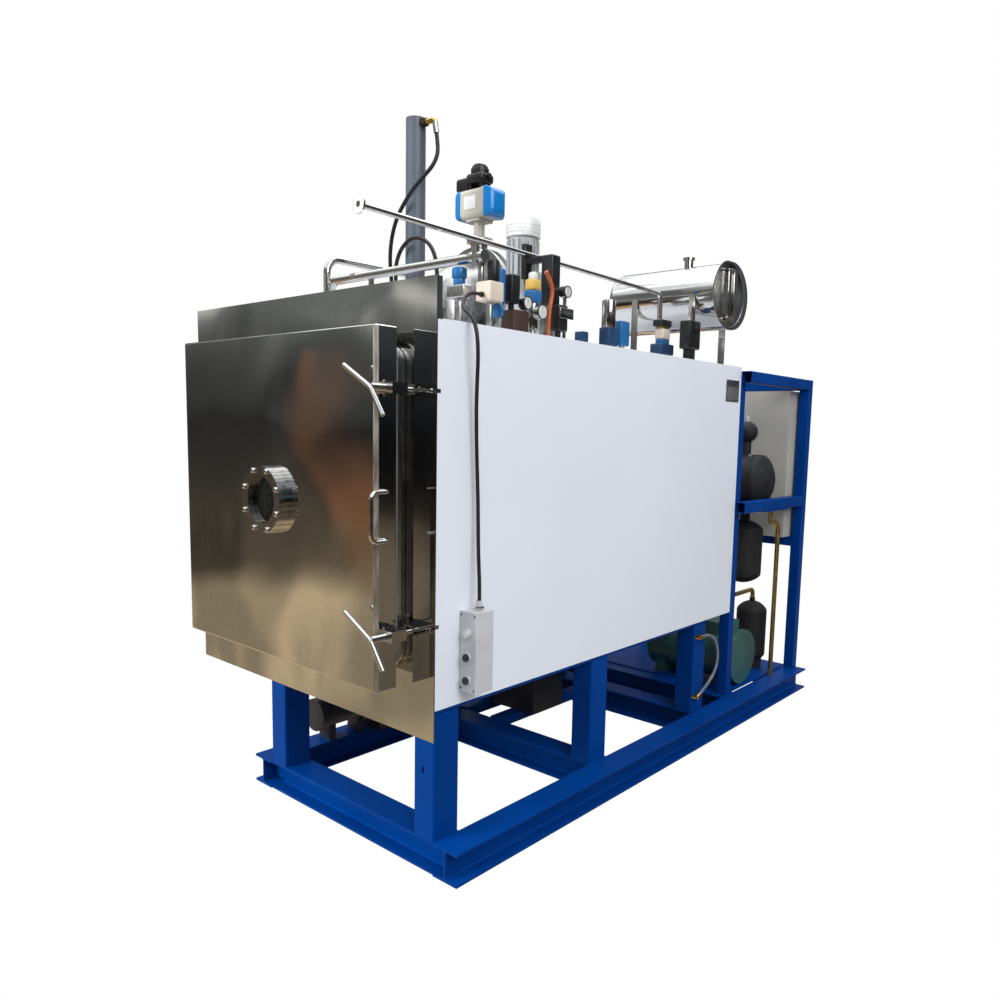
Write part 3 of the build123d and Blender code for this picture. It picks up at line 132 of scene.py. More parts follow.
# %% The four cords
station_cable = hose("station_cable_jacket", [
    (0.520, FRONT + 0.246, 1.690), (0.520, FRONT + 0.218, 1.690), (0.525, FRONT + 0.190, 1.682),
    (0.536, FRONT + 0.163, 1.664), (0.553, FRONT + 0.141, 1.642), (0.576, FRONT + 0.129, 1.624),
    (0.604, FRONT + 0.119, 1.611), (0.627, FRONT + 0.113, 1.591), (0.640, FRONT + 0.111, 1.562),
    (0.643, FRONT + 0.113, 1.530), (0.639, FRONT + 0.119, 1.488), (0.632, FRONT + 0.124, 1.434),
    (0.626, FRONT + 0.128, 1.370), (0.623, FRONT + 0.132, 1.300), (0.621, FRONT + 0.137, 1.222),
    (0.621, FRONT + 0.142, 1.140), (0.622, FRONT + 0.145, 1.055), (0.625, FRONT + 0.144, 0.970),
    (0.630, FRONT + 0.143, 0.900), (0.635, FRONT + 0.142, 0.845), (0.635, FRONT + 0.142, 0.800),
], 0.011, "station_cable")
hose_a = hose("press_hose_long", [
    (0.191, FRONT + 0.365, 2.247), (0.198, FRONT + 0.365, 2.212), (0.204, FRONT + 0.359, 2.176),
    (0.196, FRONT + 0.348, 2.143), (0.180, FRONT + 0.334, 2.117), (0.157, FRONT + 0.321, 2.090),
    (0.130, FRONT + 0.312, 2.062), (0.100, FRONT + 0.309, 2.031), (0.066, FRONT + 0.311, 1.998),
    (0.034, FRONT + 0.318, 1.960), (0.008, FRONT + 0.327, 1.914), (-0.008, FRONT + 0.336, 1.862),
    (-0.008, FRONT + 0.342, 1.802), (-0.002, FRONT + 0.345, 1.738), (0.000, FRONT + 0.345, 1.680),
    (0.000, FRONT + 0.345, 1.622),
], 0.013, "hydraulic_hose_a")
hose_b = hose("press_hose_short", [
    (0.052, FRONT + 0.318, 1.622), (0.052, FRONT + 0.318, 1.682), (0.052, FRONT + 0.316, 1.738),
    (0.051, FRONT + 0.313, 1.788), (0.0515, FRONT + 0.312, 1.833), (0.0717, FRONT + 0.311, 1.875),
    (0.108, FRONT + 0.310, 1.904), (0.147, FRONT + 0.310, 1.914), (0.192, FRONT + 0.310, 1.904),
    (0.230, FRONT + 0.311, 1.876), (0.251, FRONT + 0.312, 1.835), (0.256, FRONT + 0.313, 1.788),
    (0.256, FRONT + 0.316, 1.738), (0.256, FRONT + 0.318, 1.682), (0.256, FRONT + 0.318, 1.622),
], 0.013, "hydraulic_hose_b")
grey_hose = hose("drain_hose", [
    (0.618, FRONT + 1.535, 0.432), (0.618, FRONT + 1.568, 0.432), (0.621, FRONT + 1.602, 0.421),
    (0.625, FRONT + 1.629, 0.397), (0.628, FRONT + 1.644, 0.364), (0.630, FRONT + 1.648, 0.324),
    (0.630, FRONT + 1.640, 0.284), (0.627, FRONT + 1.620, 0.248), (0.622, FRONT + 1.590, 0.218),
    (0.618, FRONT + 1.555, 0.195), (0.618, FRONT + 1.518, 0.178),
], 0.013, "grey_hose")

# %% [markdown]
# ## Finishes
# Every finish is a small node group of the same kind: a colour that drifts a little, a roughness that
# drifts with it, and a fine bump. Patterns read Object coordinates, so they stay on the piece. Metal
# that was brushed has streaks, which are noise squeezed along one axis.

# %% Finish helpers
def link(tree, a, b):
    tree.links.new(a, b)


def new_finish(name):
    finish = bpy.data.materials.new(name)
    finish.use_nodes = True
    tree = finish.node_tree
    shader = next(n for n in tree.nodes if n.type == "BSDF_PRINCIPLED")
    return finish, tree, shader


def pattern(tree, scale, stretch=(1, 1, 1), detail=3.0, space="Object"):
    """Noise that stays on the piece, squeezed or stretched by axis, as a grey from 0 to 1."""
    place = tree.nodes.new("ShaderNodeTexCoord")
    squeeze = tree.nodes.new("ShaderNodeMapping")
    squeeze.inputs["Scale"].default_value = stretch
    link(tree, place.outputs[space], squeeze.inputs["Vector"])
    texture = tree.nodes.new("ShaderNodeTexNoise")
    texture.inputs["Scale"].default_value = scale
    texture.inputs["Detail"].default_value = detail
    link(tree, squeeze.outputs["Vector"], texture.inputs["Vector"])
    return texture.outputs["Fac"]


def ramp(tree, source, stops):
    """Turns a grey pattern into the colours in stops: (place, colour)."""
    node = tree.nodes.new("ShaderNodeValToRGB")
    link(tree, source, node.inputs["Fac"])
    for index, (place, colour) in enumerate(stops):
        element = node.color_ramp.elements[index] if index < 2 else node.color_ramp.elements.new(place)
        element.position = place
        element.color = (*colour, 1)
    return node.outputs["Color"]


def spread(tree, source, low, high, start=0.3, end=0.7):
    """Maps a pattern's start to end on to a number between low and high."""
    node = tree.nodes.new("ShaderNodeMapRange")
    node.inputs["From Min"].default_value = start
    node.inputs["From Max"].default_value = end
    node.inputs["To Min"].default_value = low
    node.inputs["To Max"].default_value = high
    link(tree, source, node.inputs["Value"])
    return node.outputs["Result"]


def bump(tree, shader, source, strength, distance):
    node = tree.nodes.new("ShaderNodeBump")
    node.inputs["Strength"].default_value = strength
    node.inputs["Distance"].default_value = distance
    link(tree, source, node.inputs["Height"])
    link(tree, node.outputs["Normal"], shader.inputs["Normal"])


def shade(colour, by):
    return tuple(min(1.0, c * by) for c in colour)


def drifting(tree, source, colour, drift):
    """The colour, a little darker and lighter where the pattern is low and high."""
    return ramp(tree, source, [(0.3, shade(colour, 1 - drift)), (0.7, shade(colour, 1 + drift))])


# %% Finishes
PEEL_SCALE, PEEL_DEPTH = 320.0, 0.0004
GRAIN_SCALE, GRAIN_DEPTH = 60.0, 0.0003


def painted(name, colour, rough=0.35, drift=0.12, scale=6.0, peel=0.15, coat=0.0, shine=0.5):
    """Sprayed paint: slow drift in tone, a little orange peel."""
    finish, tree, shader = new_finish(name)
    slow = pattern(tree, scale)
    link(tree, drifting(tree, slow, colour, drift), shader.inputs["Base Color"])
    link(tree, spread(tree, slow, rough * 0.85, rough * 1.15), shader.inputs["Roughness"])
    bump(tree, shader, pattern(tree, PEEL_SCALE, detail=2.0), peel, PEEL_DEPTH)
    shader.inputs["Coat Weight"].default_value = coat
    shader.inputs["Specular IOR Level"].default_value = shine
    return finish


def metal(name, colour, rough, streak=(1, 1, 1), drift=0.06, wave=0.0, wave_scale=3.0):
    """Bare metal: streaks along an axis if it was brushed, and slow waves if it is thin sheet."""
    finish, tree, shader = new_finish(name)
    shader.inputs["Metallic"].default_value = 1.0
    grain = pattern(tree, GRAIN_SCALE, streak, 4.0)
    link(tree, drifting(tree, grain, colour, drift), shader.inputs["Base Color"])
    link(tree, spread(tree, grain, rough * 0.7, rough * 1.3), shader.inputs["Roughness"])
    if wave:
        bump(tree, shader, pattern(tree, wave_scale, detail=1.0), 1.0, wave)
    else:
        bump(tree, shader, grain, 0.12, GRAIN_DEPTH)
    return finish


BLUE = (0.0002, 0.043, 0.235)
frame_paint = painted("frame_blue", BLUE, 0.40, 0.14, 3.0, 0.3, shine=0.06)
panel_paint = painted("casing_white", (0.79, 0.82, 0.885), 0.32, 0.03, 1.2, 0.08)
mirror = metal("polished_sheet", (0.60, 0.59, 0.57), 0.06, (1, 1, 1), 0.03, 0.012, 2.2)
brushed = metal("brushed_sheet", (0.56, 0.555, 0.54), 0.17, (1, 1, 0.4), 0.03, 0.002, 5.0)
tube_steel = metal("bright_tube", (0.62, 0.61, 0.59), 0.14, (1, 1, 1), 0.05)
duct_steel = metal("duct_steel", (0.46, 0.46, 0.45), 0.34, (1, 1, 1), 0.08, 0.0004, 6.0)
satin = metal("satin_steel", (0.60, 0.59, 0.57), 0.36, (1, 1, 1), 0.06)
cylinder_paint = painted("cylinder_grey_blue", (0.085, 0.10, 0.125), 0.4, 0.12, 5.0, 0.3)
cast = painted("cast_dark", (0.020, 0.024, 0.034), 0.45, 0.3, 12.0, 0.7)
plate_field = painted("plate_field", (0.13, 0.137, 0.135), 0.5, 0.2, 12.0, 0.5)
actuator_paint = painted("actuator_light", (0.44, 0.42, 0.36), 0.35, 0.06, 8.0, 0.4)
cap_blue = painted("cap_blue", (0.001, 0.17, 0.48), 0.22, 0.1, 6.0, 0.2, 0.15)
cover_white = painted("cover_white", (0.68, 0.68, 0.675), 0.42, 0.05, 9.0, 0.5)
black_plastic = painted("black_plastic", (0.012, 0.012, 0.013), 0.38, 0.3, 20.0, 0.6)
rubber_black = painted("black_rubber", (0.010, 0.010, 0.011), 0.5, 0.3, 30.0, 0.8)
rubber_grey = painted("grey_rubber", (0.16, 0.17, 0.19), 0.55, 0.2, 24.0, 0.6)
gasket_white = painted("seal_silicone", (0.30, 0.30, 0.29), 0.6, 0.1, 18.0, 0.4)
foam_black = painted("insulation_foam", (0.012, 0.012, 0.013), 0.7, 0.4, 26.0, 1.0)
beige_paint = painted("cabinet_grey", (0.46, 0.445, 0.395), 0.45, 0.06, 4.0, 0.7)
green_paint = painted("compressor_green", (0.035, 0.11, 0.10), 0.4, 0.2, 7.0, 0.5)
copper = metal("brass_pipe", (0.60, 0.44, 0.16), 0.36, (1, 1, 1), 0.08, 0.0002, 30.0)
station_paint = painted("station_grey", (0.55, 0.55, 0.57), 0.45, 0.08, 10.0, 0.5)
lamp_white = painted("lamp_cap", (0.70, 0.70, 0.68), 0.2, 0.04, 30.0, 0.1, 0.5)
ground = metal("ground_edge", (0.72, 0.67, 0.60), 0.5, (1, 1, 0.3), 0.05)
gauge_body = metal("gauge_case", (0.45, 0.45, 0.44), 0.2)
brass = metal("brass", (0.60, 0.40, 0.12), 0.26, (1, 1, 1), 0.1)
cream = painted("junction_cream", (0.66, 0.56, 0.46), 0.45, 0.08, 9.0, 0.5)
brown = painted("coil_brown", (0.055, 0.030, 0.022), 0.5, 0.2, 14.0, 0.8)
orange = painted("air_line_orange", (0.50, 0.11, 0.035), 0.35, 0.12, 20.0, 0.4)
yellow = painted("regulator_yellow", (0.62, 0.42, 0.10), 0.4, 0.1, 12.0, 0.4)
navy = painted("valve_navy", (0.012, 0.045, 0.11), 0.4, 0.2, 9.0, 0.5)
valve_blue = painted("valve_blue", (0.015, 0.13, 0.34), 0.32, 0.15, 9.0, 0.4, 0.2)
dial_white = painted("dial_white", (0.66, 0.66, 0.64), 0.35, 0.04, 30.0, 0.2, 0.4)
motor_silver = painted("motor_silver", (0.40, 0.41, 0.42), 0.4, 0.1, 16.0, 0.5)
plate_grey = metal("name_plate", (0.36, 0.37, 0.36), 0.42, (1, 1, 1), 0.08)
print("finishes:", len(bpy.data.materials))

# %% Glass
def glass_with_painted_shade(name):
    finish, tree, shader = new_finish(name)
    shader.inputs["Transmission Weight"].default_value = 1.0
    shader.inputs["IOR"].default_value = 1.5
    # The glass is tinted nearly black as painted shade for the dark inside of the closed chamber behind it.
    # The noise varies that painted shade and the roughness of smears on the glass.
    smear_and_shade = pattern(tree, 14.0)
    tone = ramp(tree, smear_and_shade, [(0.3, (0.11, 0.13, 0.125)), (0.7, (0.15, 0.17, 0.165))])
    link(tree, tone, shader.inputs["Base Color"])
    link(tree, spread(tree, smear_and_shade, 0.02, 0.07), shader.inputs["Roughness"])
    return finish


glass = glass_with_painted_shade("sight_glass")
print("glass:", glass.name)

# %% [markdown]
# ## Dressing the solids
# The solids keep their shape where it is right, and only their material slots change. A list by
# finish is easier to read than one line for each solid.

# %% Finishes by solid
dress = {
    frame_paint: ["base_frame", "chamber_stand", "rear_frame_posts", "rear_frame_rails"],
    panel_paint: ["side_panel_right", "side_panel_left", "roof_panel", "rear_panel"],
    mirror: ["front_surround", "trim_frame", "door_shell", "water_tank", "clamp_brackets", "clamp_keepers"],
    duct_steel: ["vapour_duct"],
    brushed: ["chamber_shell", "cold_trap", "butterfly_valve_body", "butterfly_disc",
              "shelf_bottom", "shelf_middle", "shelf_upper", "pressure_plate", "door_back_plate"],
    satin: ["valve_manifold"],
    tube_steel: ["door_pull_handle", "upper_clamp_spindle", "lower_clamp_spindle", "sight_glass_ring",
                 "sight_glass_bolts", "hinge_brackets", "hinge_pins", "door_hinge_arms", "vent_pipe",
                 "process_pipes", "ram_plunger", "shelf_guide_rods"],
    cylinder_paint: ["hydraulic_cylinder"],
    cast: ["vacuum_pump"],
    motor_silver: ["circulation_pump"],
    actuator_paint: ["actuator_body"],
    cap_blue: ["actuator_end_caps"],
    cover_white: ["motor_fan_cover"],
    black_plastic: ["position_box", "start_button", "stop_button"],
    gasket_white: ["door_gasket"],
    foam_black: ["insulated_vessels"],
    beige_paint: ["electric_cabinet", "cabinet_door"],
    green_paint: ["compressor"],
    copper: ["refrigerant_pipes"],
    station_paint: ["station_box"],
    lamp_white: ["lamp_button"],
    gauge_body: ["pressure_gauges"],
    glass: ["sight_glass_pane"],
}
for finish, names in dress.items():
    for name in names:
        for slot in nodes[name].material_slots:
            slot.material = finish
for piece in (station_cable, hose_a, hose_b):
    piece.data.materials.append(rubber_black)
grey_hose.data.materials.append(rubber_grey)
dressed = {name for names in dress.values() for name in names}
print("undressed:", sorted(set(nodes) - dressed))

# %% [markdown]
# ## Colours within a solid
# Some solids carry a fitting of another metal, such as a brass elbow screwed into a painted port. A
# face takes its finish from the box that its middle lies in, measured in millimetres from the roof's
# front right corner.

# %% Tints by place
ROOF = Vector((0.600, FRONT, 1.588))
TINT_SLACK = 0.3


def inside(at, spans):
    return all(low - TINT_SLACK <= c <= high + TINT_SLACK for c, (low, high) in zip(at, spans))


def tint(name, rules):
    mesh = nodes[name].data
    for finish, *boxes in rules:
        if finish.name not in mesh.materials:
            mesh.materials.append(finish)
        index = mesh.materials.find(finish.name)
        for face in mesh.polygons:
            at = (face.center - ROOF) * 1000
            if any(inside(at, spans) for spans in boxes):
                face.material_index = index
    print(name, "tints:", len(rules))


tint("hydraulic_cylinder", [
    (black_plastic, [(-481, -459), (348, 382), (686, 720)]),
    (brass, [(-458, -405), (354, 376), (684, 716)]),
    (tube_steel, [(-430, -395), (354, 376), (655, 690)]),
])
tint("chamber_stand", [
    (brass, [(-1.5, 32), (1488, 1537), (-1170, -1140)], [(-1.5, 32), (1488, 1522), (-1435, -1395)]),
])

# %% [markdown]
# ## Pieces made for the eye
# Each of these starts as a primitive at its real size and place. Its faces are then inset and pushed
# in or out, and its edges rounded, as a turner or a moulder would leave them.

# %% Modelling helpers
EDGE_ANGLE = math.radians(35)
SMOOTH_ANGLE = math.radians(38)


def start():
    """Leaves edit mode and selects nothing, so that the next tool meets only its own piece."""
    if bpy.context.object and bpy.context.object.mode == "EDIT":
        bpy.ops.object.mode_set(mode="OBJECT")
    bpy.ops.object.select_all(action="DESELECT")


def finished(piece, name, finish, body, soften=0.0, segments=2):
    """Rounds the edges, bakes the placement, smooths, paints, and hands the piece to its body."""
    piece.name = name
    bpy.ops.object.transform_apply(location=True, rotation=True, scale=True)
    if soften:
        edge = piece.modifiers.new("soften", "BEVEL")
        edge.width = soften
        edge.segments = segments
        edge.limit_method = "ANGLE"
        edge.angle_limit = EDGE_ANGLE
        bpy.ops.object.modifier_apply(modifier="soften")
    bpy.ops.object.shade_smooth_by_angle(angle=SMOOTH_ANGLE)
    piece.data.materials.append(finish)
    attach(piece, body)
    return piece


def slab(name, low, high, soften, finish, body="frame", segments=3):
    """A box between two corners, with its edges rounded."""
    start()
    middle = [(a + b) / 2 for a, b in zip(low, high)]
    bpy.ops.mesh.primitive_cube_add(size=1, location=middle)
    piece = bpy.context.object
    piece.scale = [b - a for a, b in zip(low, high)]
    bpy.ops.object.transform_apply(location=True, rotation=True, scale=True)
    return finished(piece, name, finish, body, soften, segments)


def work_top(piece, steps):
    """Works the top face: ("in", inset) and ("out", push), one after another."""
    bpy.ops.object.mode_set(mode="EDIT")
    bpy.ops.mesh.select_all(action="DESELECT")
    shape = bmesh.from_edit_mesh(piece.data)
    shape.faces.ensure_lookup_table()
    top = max(shape.faces, key=lambda face: face.calc_center_median().z)
    top.select = True
    shape.faces.active = top
    bmesh.update_edit_mesh(piece.data)
    for kind, size in steps:
        if kind == "in":
            bpy.ops.mesh.inset(thickness=size)
        else:
            bpy.ops.mesh.extrude_region_move(TRANSFORM_OT_translate={"value": (0, 0, size)})
    bpy.ops.object.mode_set(mode="OBJECT")


def turned(name, base, axis, radius, length, steps, finish, body="frame", sides=48, soften=0.0008):
    """A bar from base along axis, whose far end is worked by steps."""
    start()
    bpy.ops.mesh.primitive_cylinder_add(
        vertices=sides, radius=radius, depth=length, location=(0, 0, length / 2))
    piece = bpy.context.object
    bpy.ops.object.transform_apply(location=True, rotation=True, scale=True)
    work_top(piece, steps)
    piece.rotation_euler = Vector(axis).to_track_quat("Z", "Y").to_euler()
    piece.location = base
    return finished(piece, name, finish, body, soften)


def roofed(x, y, z):
    """A place given in millimetres from the roof's front right corner."""
    return Vector((ROOF.x + x / 1000, ROOF.y + y / 1000, ROOF.z + z / 1000))


def tube(name, points, radius, finish, body="frame"):
    """A bent tube along a smooth line, then made a mesh."""
    start()
    piece = smooth_line(name, points, radius, steps=10, roundness=5)
    piece.select_set(True)
    bpy.context.view_layer.objects.active = piece
    bpy.ops.object.convert(target="MESH")
    return finished(bpy.context.object, name, finish, body)


# %% [markdown]
# ### Valve cluster
# Valves, coils and junction boxes crowd the roof's front corner. On the real machine each is bought
# in with its own colour and has moulded, rounded edges, so each is a rounded block or a turned bar.
# Places are in millimetres from the roof's front right corner.

# %% Valve cluster
UP, BACK, AHEAD, RIGHT = (0, 0, 1), (0, 1, 0), (0, -1, 0), (1, 0, 0)
NIPPLE = (("in", 0.002), ("out", 0.0004))


def roof_block(name, x, y, z, finish, soften=4.0):
    low, high = roofed(x[0], y[0], z[0]), roofed(x[1], y[1], z[1])
    return slab(f"cluster_{name}", low, high, soften / 1000, finish)


def roof_bar(name, base, axis, radius, length, finish, soften=1.5, steps=NIPPLE):
    return turned(f"cluster_{name}", roofed(*base), axis, radius / 1000, length / 1000, steps, finish,
                  soften=soften / 1000)


dome = (("in", 0.003), ("out", 0.003), ("in", 0.004), ("out", 0.0015))
angle_valve = roof_block("angle_valve", (-207, -133), (225, 265), (96, 136), satin, 6)
roof_bar("angle_stem", (-170, 245, 0), UP, 14, 100, satin)
roof_bar("angle_flange", (-170, 245, 0), UP, 30, 8, satin)
roof_bar("blue_neck", (-170, 245, 136), UP, 18, 21, valve_blue)
roof_bar("blue_bonnet", (-170, 245, 157), UP, 23, 27, valve_blue, 5, dome)
roof_block("junction_box", (-110, -48), (254, 314), (84, 142), cream, 5)
roof_bar("junction_post", (-79, 284, 0), UP, 10, 84, satin)
roof_bar("junction_gland", (-80, 246, 102), BACK, 8, 8, black_plastic)
roof_bar("junction_coil", (-67, 285, 142), UP, 17.5, 61, black_plastic, 4)
roof_bar("tee_post", (-95, 262, 142), UP, 9, 48, satin)
roof_block("blue_valve", (-92, -68), (318, 342), (87, 189), valve_blue, 4)
roof_bar("blue_valve_post", (-80, 330, 0), UP, 8, 90, satin)
roof_bar("blue_valve_disc", (-80, 327, 63), AHEAD, 22, 12, valve_blue, 2, (("in", 0.004), ("out", -0.001)))
roof_block("brown_box", (-120, -55), (366, 438), (0, 73), brown, 3)
roof_block("coil_rack", (-100, -60), (360, 401), (92, 179), black_plastic, 5)
roof_bar("coil_rack_post", (-80, 380, 73), UP, 9, 25, black_plastic)
roof_bar("filter_post", (-100, 505, 0), UP, 9, 30, satin)
roof_bar("filter_bowl", (-100, 505, 30), UP, 18, 81, tube_steel, 4)
roof_block("filter_head", (-122, -78), (483, 527), (111, 151), valve_blue, 6)
roof_block("filter_collar", (-120, -80), (485, 525), (151, 186), yellow, 7)
roof_bar("filter_knob", (-100, 505, 186), UP, 15, 19, dial_white, 3, dome)
roof_bar("solenoid_post", (-80, 612, 0), UP, 10, 34, black_plastic)
roof_block("solenoid_base", (-104, -56), (588, 636), (32, 117), black_plastic, 6)
roof_block("solenoid_coil", (-140, -92), (588, 636), (117, 282), black_plastic, 7)
roof_block("solenoid_arm", (-228, -139), (592, 620), (262, 282), black_plastic, 3)
roof_block("solenoid_clamp", (-228, -209), (587, 625), (212, 329), black_plastic, 4)
roof_block("solenoid_plate", (-56, -50), (587, 657), (73, 107), tube_steel, 1.5)
roof_block("navy_valve", (-100, -60), (727, 757), (0, 46), navy)
roof_block("canister_base", (-224, -176), (1037, 1096), (0, 102), navy, 5)
roof_bar("canister", (-200, 1066, 102), UP, 27, 100, tube_steel, 6, dome)
roof_block("middle_valve", (-218, -182), (1127, 1187), (41, 137), valve_blue, 5)
roof_bar("middle_valve_post", (-200, 1157, 0), UP, 12, 45, satin)
roof_block("regulator_body", (-230, -170), (1408, 1505), (32, 77), navy, 6)
roof_bar("regulator_post", (-200, 1456, 0), UP, 12, 34, satin)
roof_block("regulator_ring", (-218, -182), (1430, 1482), (77, 96), valve_blue, 3)
roof_block("regulator_bonnet", (-222, -178), (1426, 1485), (96, 140), cream, 8)
roof_block("regulator_band", (-218, -182), (1430, 1482), (140, 147), brass, 1.5)
roof_block("regulator_head", (-223, -176), (1412, 1492), (147, 176), black_plastic, 6)
roof_block("rear_valve", (-105, -55), (1432, 1522), (52, 167), black_plastic, 7)
roof_block("rear_valve_foot", (-95, -65), (1450, 1500), (0, 52), black_plastic, 3)
roof_bar("rear_valve_knob", (-56, 1477, 130), RIGHT, 14, 11, black_plastic)
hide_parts("valve_manifold")
orange_route = [(545, 216), (572, 184), (580, 160), (576, 134), (563, 90), (562, 0)]
tube("cluster_orange_tube", [roofed(-80, y, z) for y, z in orange_route], 0.007, orange)

# %% [markdown]
# ### Switch box
# The black box on the actuator reports its position. It is a moulded housing under a ribbed dome,
# with a smaller pod beside it and a cable gland on the other side.

# %% Switch box
switch_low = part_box("position_box")[0]
stand = Vector((switch_low.x + 0.102, switch_low.y + 0.035, switch_low.z))


def switch_block(name, low, high, soften):
    return slab(f"switch_{name}", stand + Vector(low), stand + Vector(high), soften, black_plastic,
                segments=4)


switch_body = switch_block("housing", (-0.040, -0.035, 0.023), (0.040, 0.035, 0.058), 0.011)
switch_block("foot_left", (-0.030, -0.025, 0), (-0.022, 0.025, 0.030), 0.001)
switch_block("foot_right", (0.022, -0.025, 0), (0.030, 0.025, 0.030), 0.001)
switch_block("pod", (-0.102, -0.025, 0.003), (-0.036, 0.025, 0.052), 0.010)
ribbed_dome = [("in", 0.004), ("out", 0.008), ("in", 0.006), ("out", 0.006), ("in", 0.008), ("out", 0.003)]
turned("switch_dome", stand + Vector((0, 0, 0.054)), UP, 0.033, 0.022, ribbed_dome, black_plastic,
       soften=0.005)
turned("switch_gland", stand + Vector((0.036, 0, 0.046)), RIGHT, 0.009, 0.015,
       [("in", 0.003), ("out", -0.001)], black_plastic)
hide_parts("position_box")
print("switch box stands at", [round(c, 3) for c in stand])

# %% [markdown]
# ### Gauges
# A pressure gauge is a short drum with a rolled bezel, and its dial sits a little below the rim.
# The bezel is the rim left by an inset, and the dial is the face pushed back behind it.

# %% Gauges
BEZEL_DEPTH, BEZEL_WIDTH, BEZEL_STEP = 0.0036, 0.0030, 0.0022
gauge_places = [((-72, 424, 98), 21, 22), ((-78, 505, 81), 24, 20), ((-91, 645, 165), 20, 22)]
for number, ((x, y, z), radius_mm, depth) in enumerate(gauge_places, 1):
    face = roofed(x + depth - 0.4, y, z)
    radius = radius_mm / 1000
    turned(f"gauge_bezel_{number}", face, RIGHT, radius, BEZEL_DEPTH,
           [("in", BEZEL_WIDTH), ("out", -BEZEL_STEP)], black_plastic)
    turned(f"gauge_dial_{number}", face + Vector((0.0006, 0, 0)), RIGHT, radius - BEZEL_WIDTH, 0.0014,
           [("in", radius - 0.0045), ("out", 0.0008)], dial_white)
    slab(f"gauge_hand_{number}", face + Vector((0.0018, -0.0007, -0.003)),
         face + Vector((0.0026, 0.0007, radius - 0.006)), 0.0002, black_plastic)
print("gauges:", len(gauge_places))

# %% [markdown]
# ### Actuator
# The quarter-turn actuator is an extruded body with two moulded caps. The caps are as large as the
# body and domed, so each is a block with one end rounded off hard. The label is left blank.

# %% Actuator caps
LEFT_JOINT, RIGHT_JOINT, RIGHT_OVERRUN = 0.052, 0.063, 0.003
DOME_ROUNDING = 0.034
cap_low, cap_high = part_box("actuator_end_caps")
middle = (cap_low + cap_high) / 2
cap_spans = (("left", middle.x - LEFT_JOINT, cap_low.x),
             ("right", middle.x + RIGHT_JOINT, cap_high.x + RIGHT_OVERRUN))
for name, near, far in cap_spans:
    start()
    way = 1 if far > near else -1
    bpy.ops.mesh.primitive_cube_add(size=1, location=((near + far) / 2, middle.y, middle.z))
    cap = bpy.context.object
    cap.scale = (abs(far - near), cap_high.y - cap_low.y, cap_high.z - cap_low.z)
    bpy.ops.object.transform_apply(location=True, rotation=True, scale=True)
    bpy.ops.object.mode_set(mode="EDIT")
    bpy.ops.mesh.select_all(action="DESELECT")
    shape = bmesh.from_edit_mesh(cap.data)
    for face in shape.faces:
        if face.normal.x * way > 0.9:
            face.select = True
    bmesh.update_edit_mesh(cap.data)
    bpy.ops.mesh.bevel(offset=DOME_ROUNDING, segments=7, affect="EDGES")
    bpy.ops.object.mode_set(mode="OBJECT")
    finished(cap, f"actuator_cap_{name}", cap_blue, "frame", 0.012, 4)
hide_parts("actuator_end_caps")
body_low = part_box("actuator_body")[0]
slab("actuator_body_end", (middle.x + 0.046, cap_low.y, cap_low.z),
     (middle.x + 0.064, cap_high.y, cap_high.z), 0.012, actuator_paint)
slab("actuator_blank_label", (middle.x - 0.032, body_low.y - 0.0006, middle.z - 0.022),
     (middle.x + 0.026, body_low.y + 0.0010, middle.z + 0.024), 0.0005, dial_white)

# %% [markdown]
# ### Motor
# The fan cover is a deep-drawn steel cap. It narrows in steps to its crown, and three bands run round it.

# %% Motor fan cover
cover_low, cover_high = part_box("motor_fan_cover")
pump_centre = Vector(((cover_low.x + cover_high.x) / 2, (cover_low.y + cover_high.y) / 2, cover_low.z))
fan_cover = turned("motor_fan_cap", pump_centre, UP, 0.0595, 0.050, [
    ("in", 0.002), ("out", 0.006), ("in", 0.004), ("out", 0.005), ("in", 0.006), ("out", 0.004),
    ("in", 0.008), ("out", 0.003), ("in", 0.012), ("out", 0.0015), ("in", 0.010), ("out", -0.003)],
    cover_white, soften=0.002)
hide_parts("motor_fan_cover")
BAND_GAP = 0.012
for number in (1, 2, 3):
    band_foot = Vector((pump_centre.x, pump_centre.y, cover_low.z + BAND_GAP * number))
    turned(f"fan_cover_band_{number}", band_foot, UP, 0.0598, 0.002, [("in", 0.001)], satin)
print("fan cover:", [round(c, 3) for c in cover_low], [round(c, 3) for c in cover_high])

# %% [markdown]
# ### Vent pipe end
# The vent ends in a hygienic ferrule: a thin flange whose bore can be seen. The bore is an inset
# pushed back into the disc, with a black disc in it that paints the shade inside the hollow pipe.

# %% Vent ferrule
vent_low, vent_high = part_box("vent_pipe")
ferrule_face = Vector((0.400, vent_low.y, vent_high.z - 0.025))
turned("vent_ferrule_face", ferrule_face + Vector((0, 0.0025, 0)), AHEAD, 0.0248, 0.0024,
       [("in", 0.0165), ("out", -0.0014)], dial_white, soften=0.0003)
# A black disc in the bore: painted shade for the dark inside of the pipe.
turned("vent_bore_painted_shade", ferrule_face + Vector((0, 0.0018, 0)), AHEAD, 0.0075, 0.0008,
       [("in", 0.002), ("out", -0.0004)], rubber_black, soften=0.0)
print("vent ferrule at", [round(c, 3) for c in ferrule_face])

# %% [markdown]
# ### Vessel fittings
# The black foam covers the vessels but leaves their metal fittings bare: a pale stub on the ball and a
# clip on the long vessel.

# %% Vessel fittings
foam_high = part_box("insulated_vessels")[1]
vessel_axis = Vector((0.470, FRONT + 2.150, foam_high.z - 0.284))
turned("ball_stub", vessel_axis + Vector((0, 0, 0.278)), UP, 0.008, 0.030,
       [("in", 0.002), ("out", 0.003)], cover_white, sides=24)
slab("vessel_clip", vessel_axis + Vector((0.035, -0.045, 0.114)),
     vessel_axis + Vector((0.055, -0.015, 0.126)), 0.002, tube_steel)
print("vessel axis:", [round(c, 3) for c in vessel_axis])

# %% [markdown]
# ### Door edge
# The front plate of the door is folded round its edge, and the fold was ground, so it is duller and
# lighter than the polished side behind it. Two studs stand beside it on the trim.

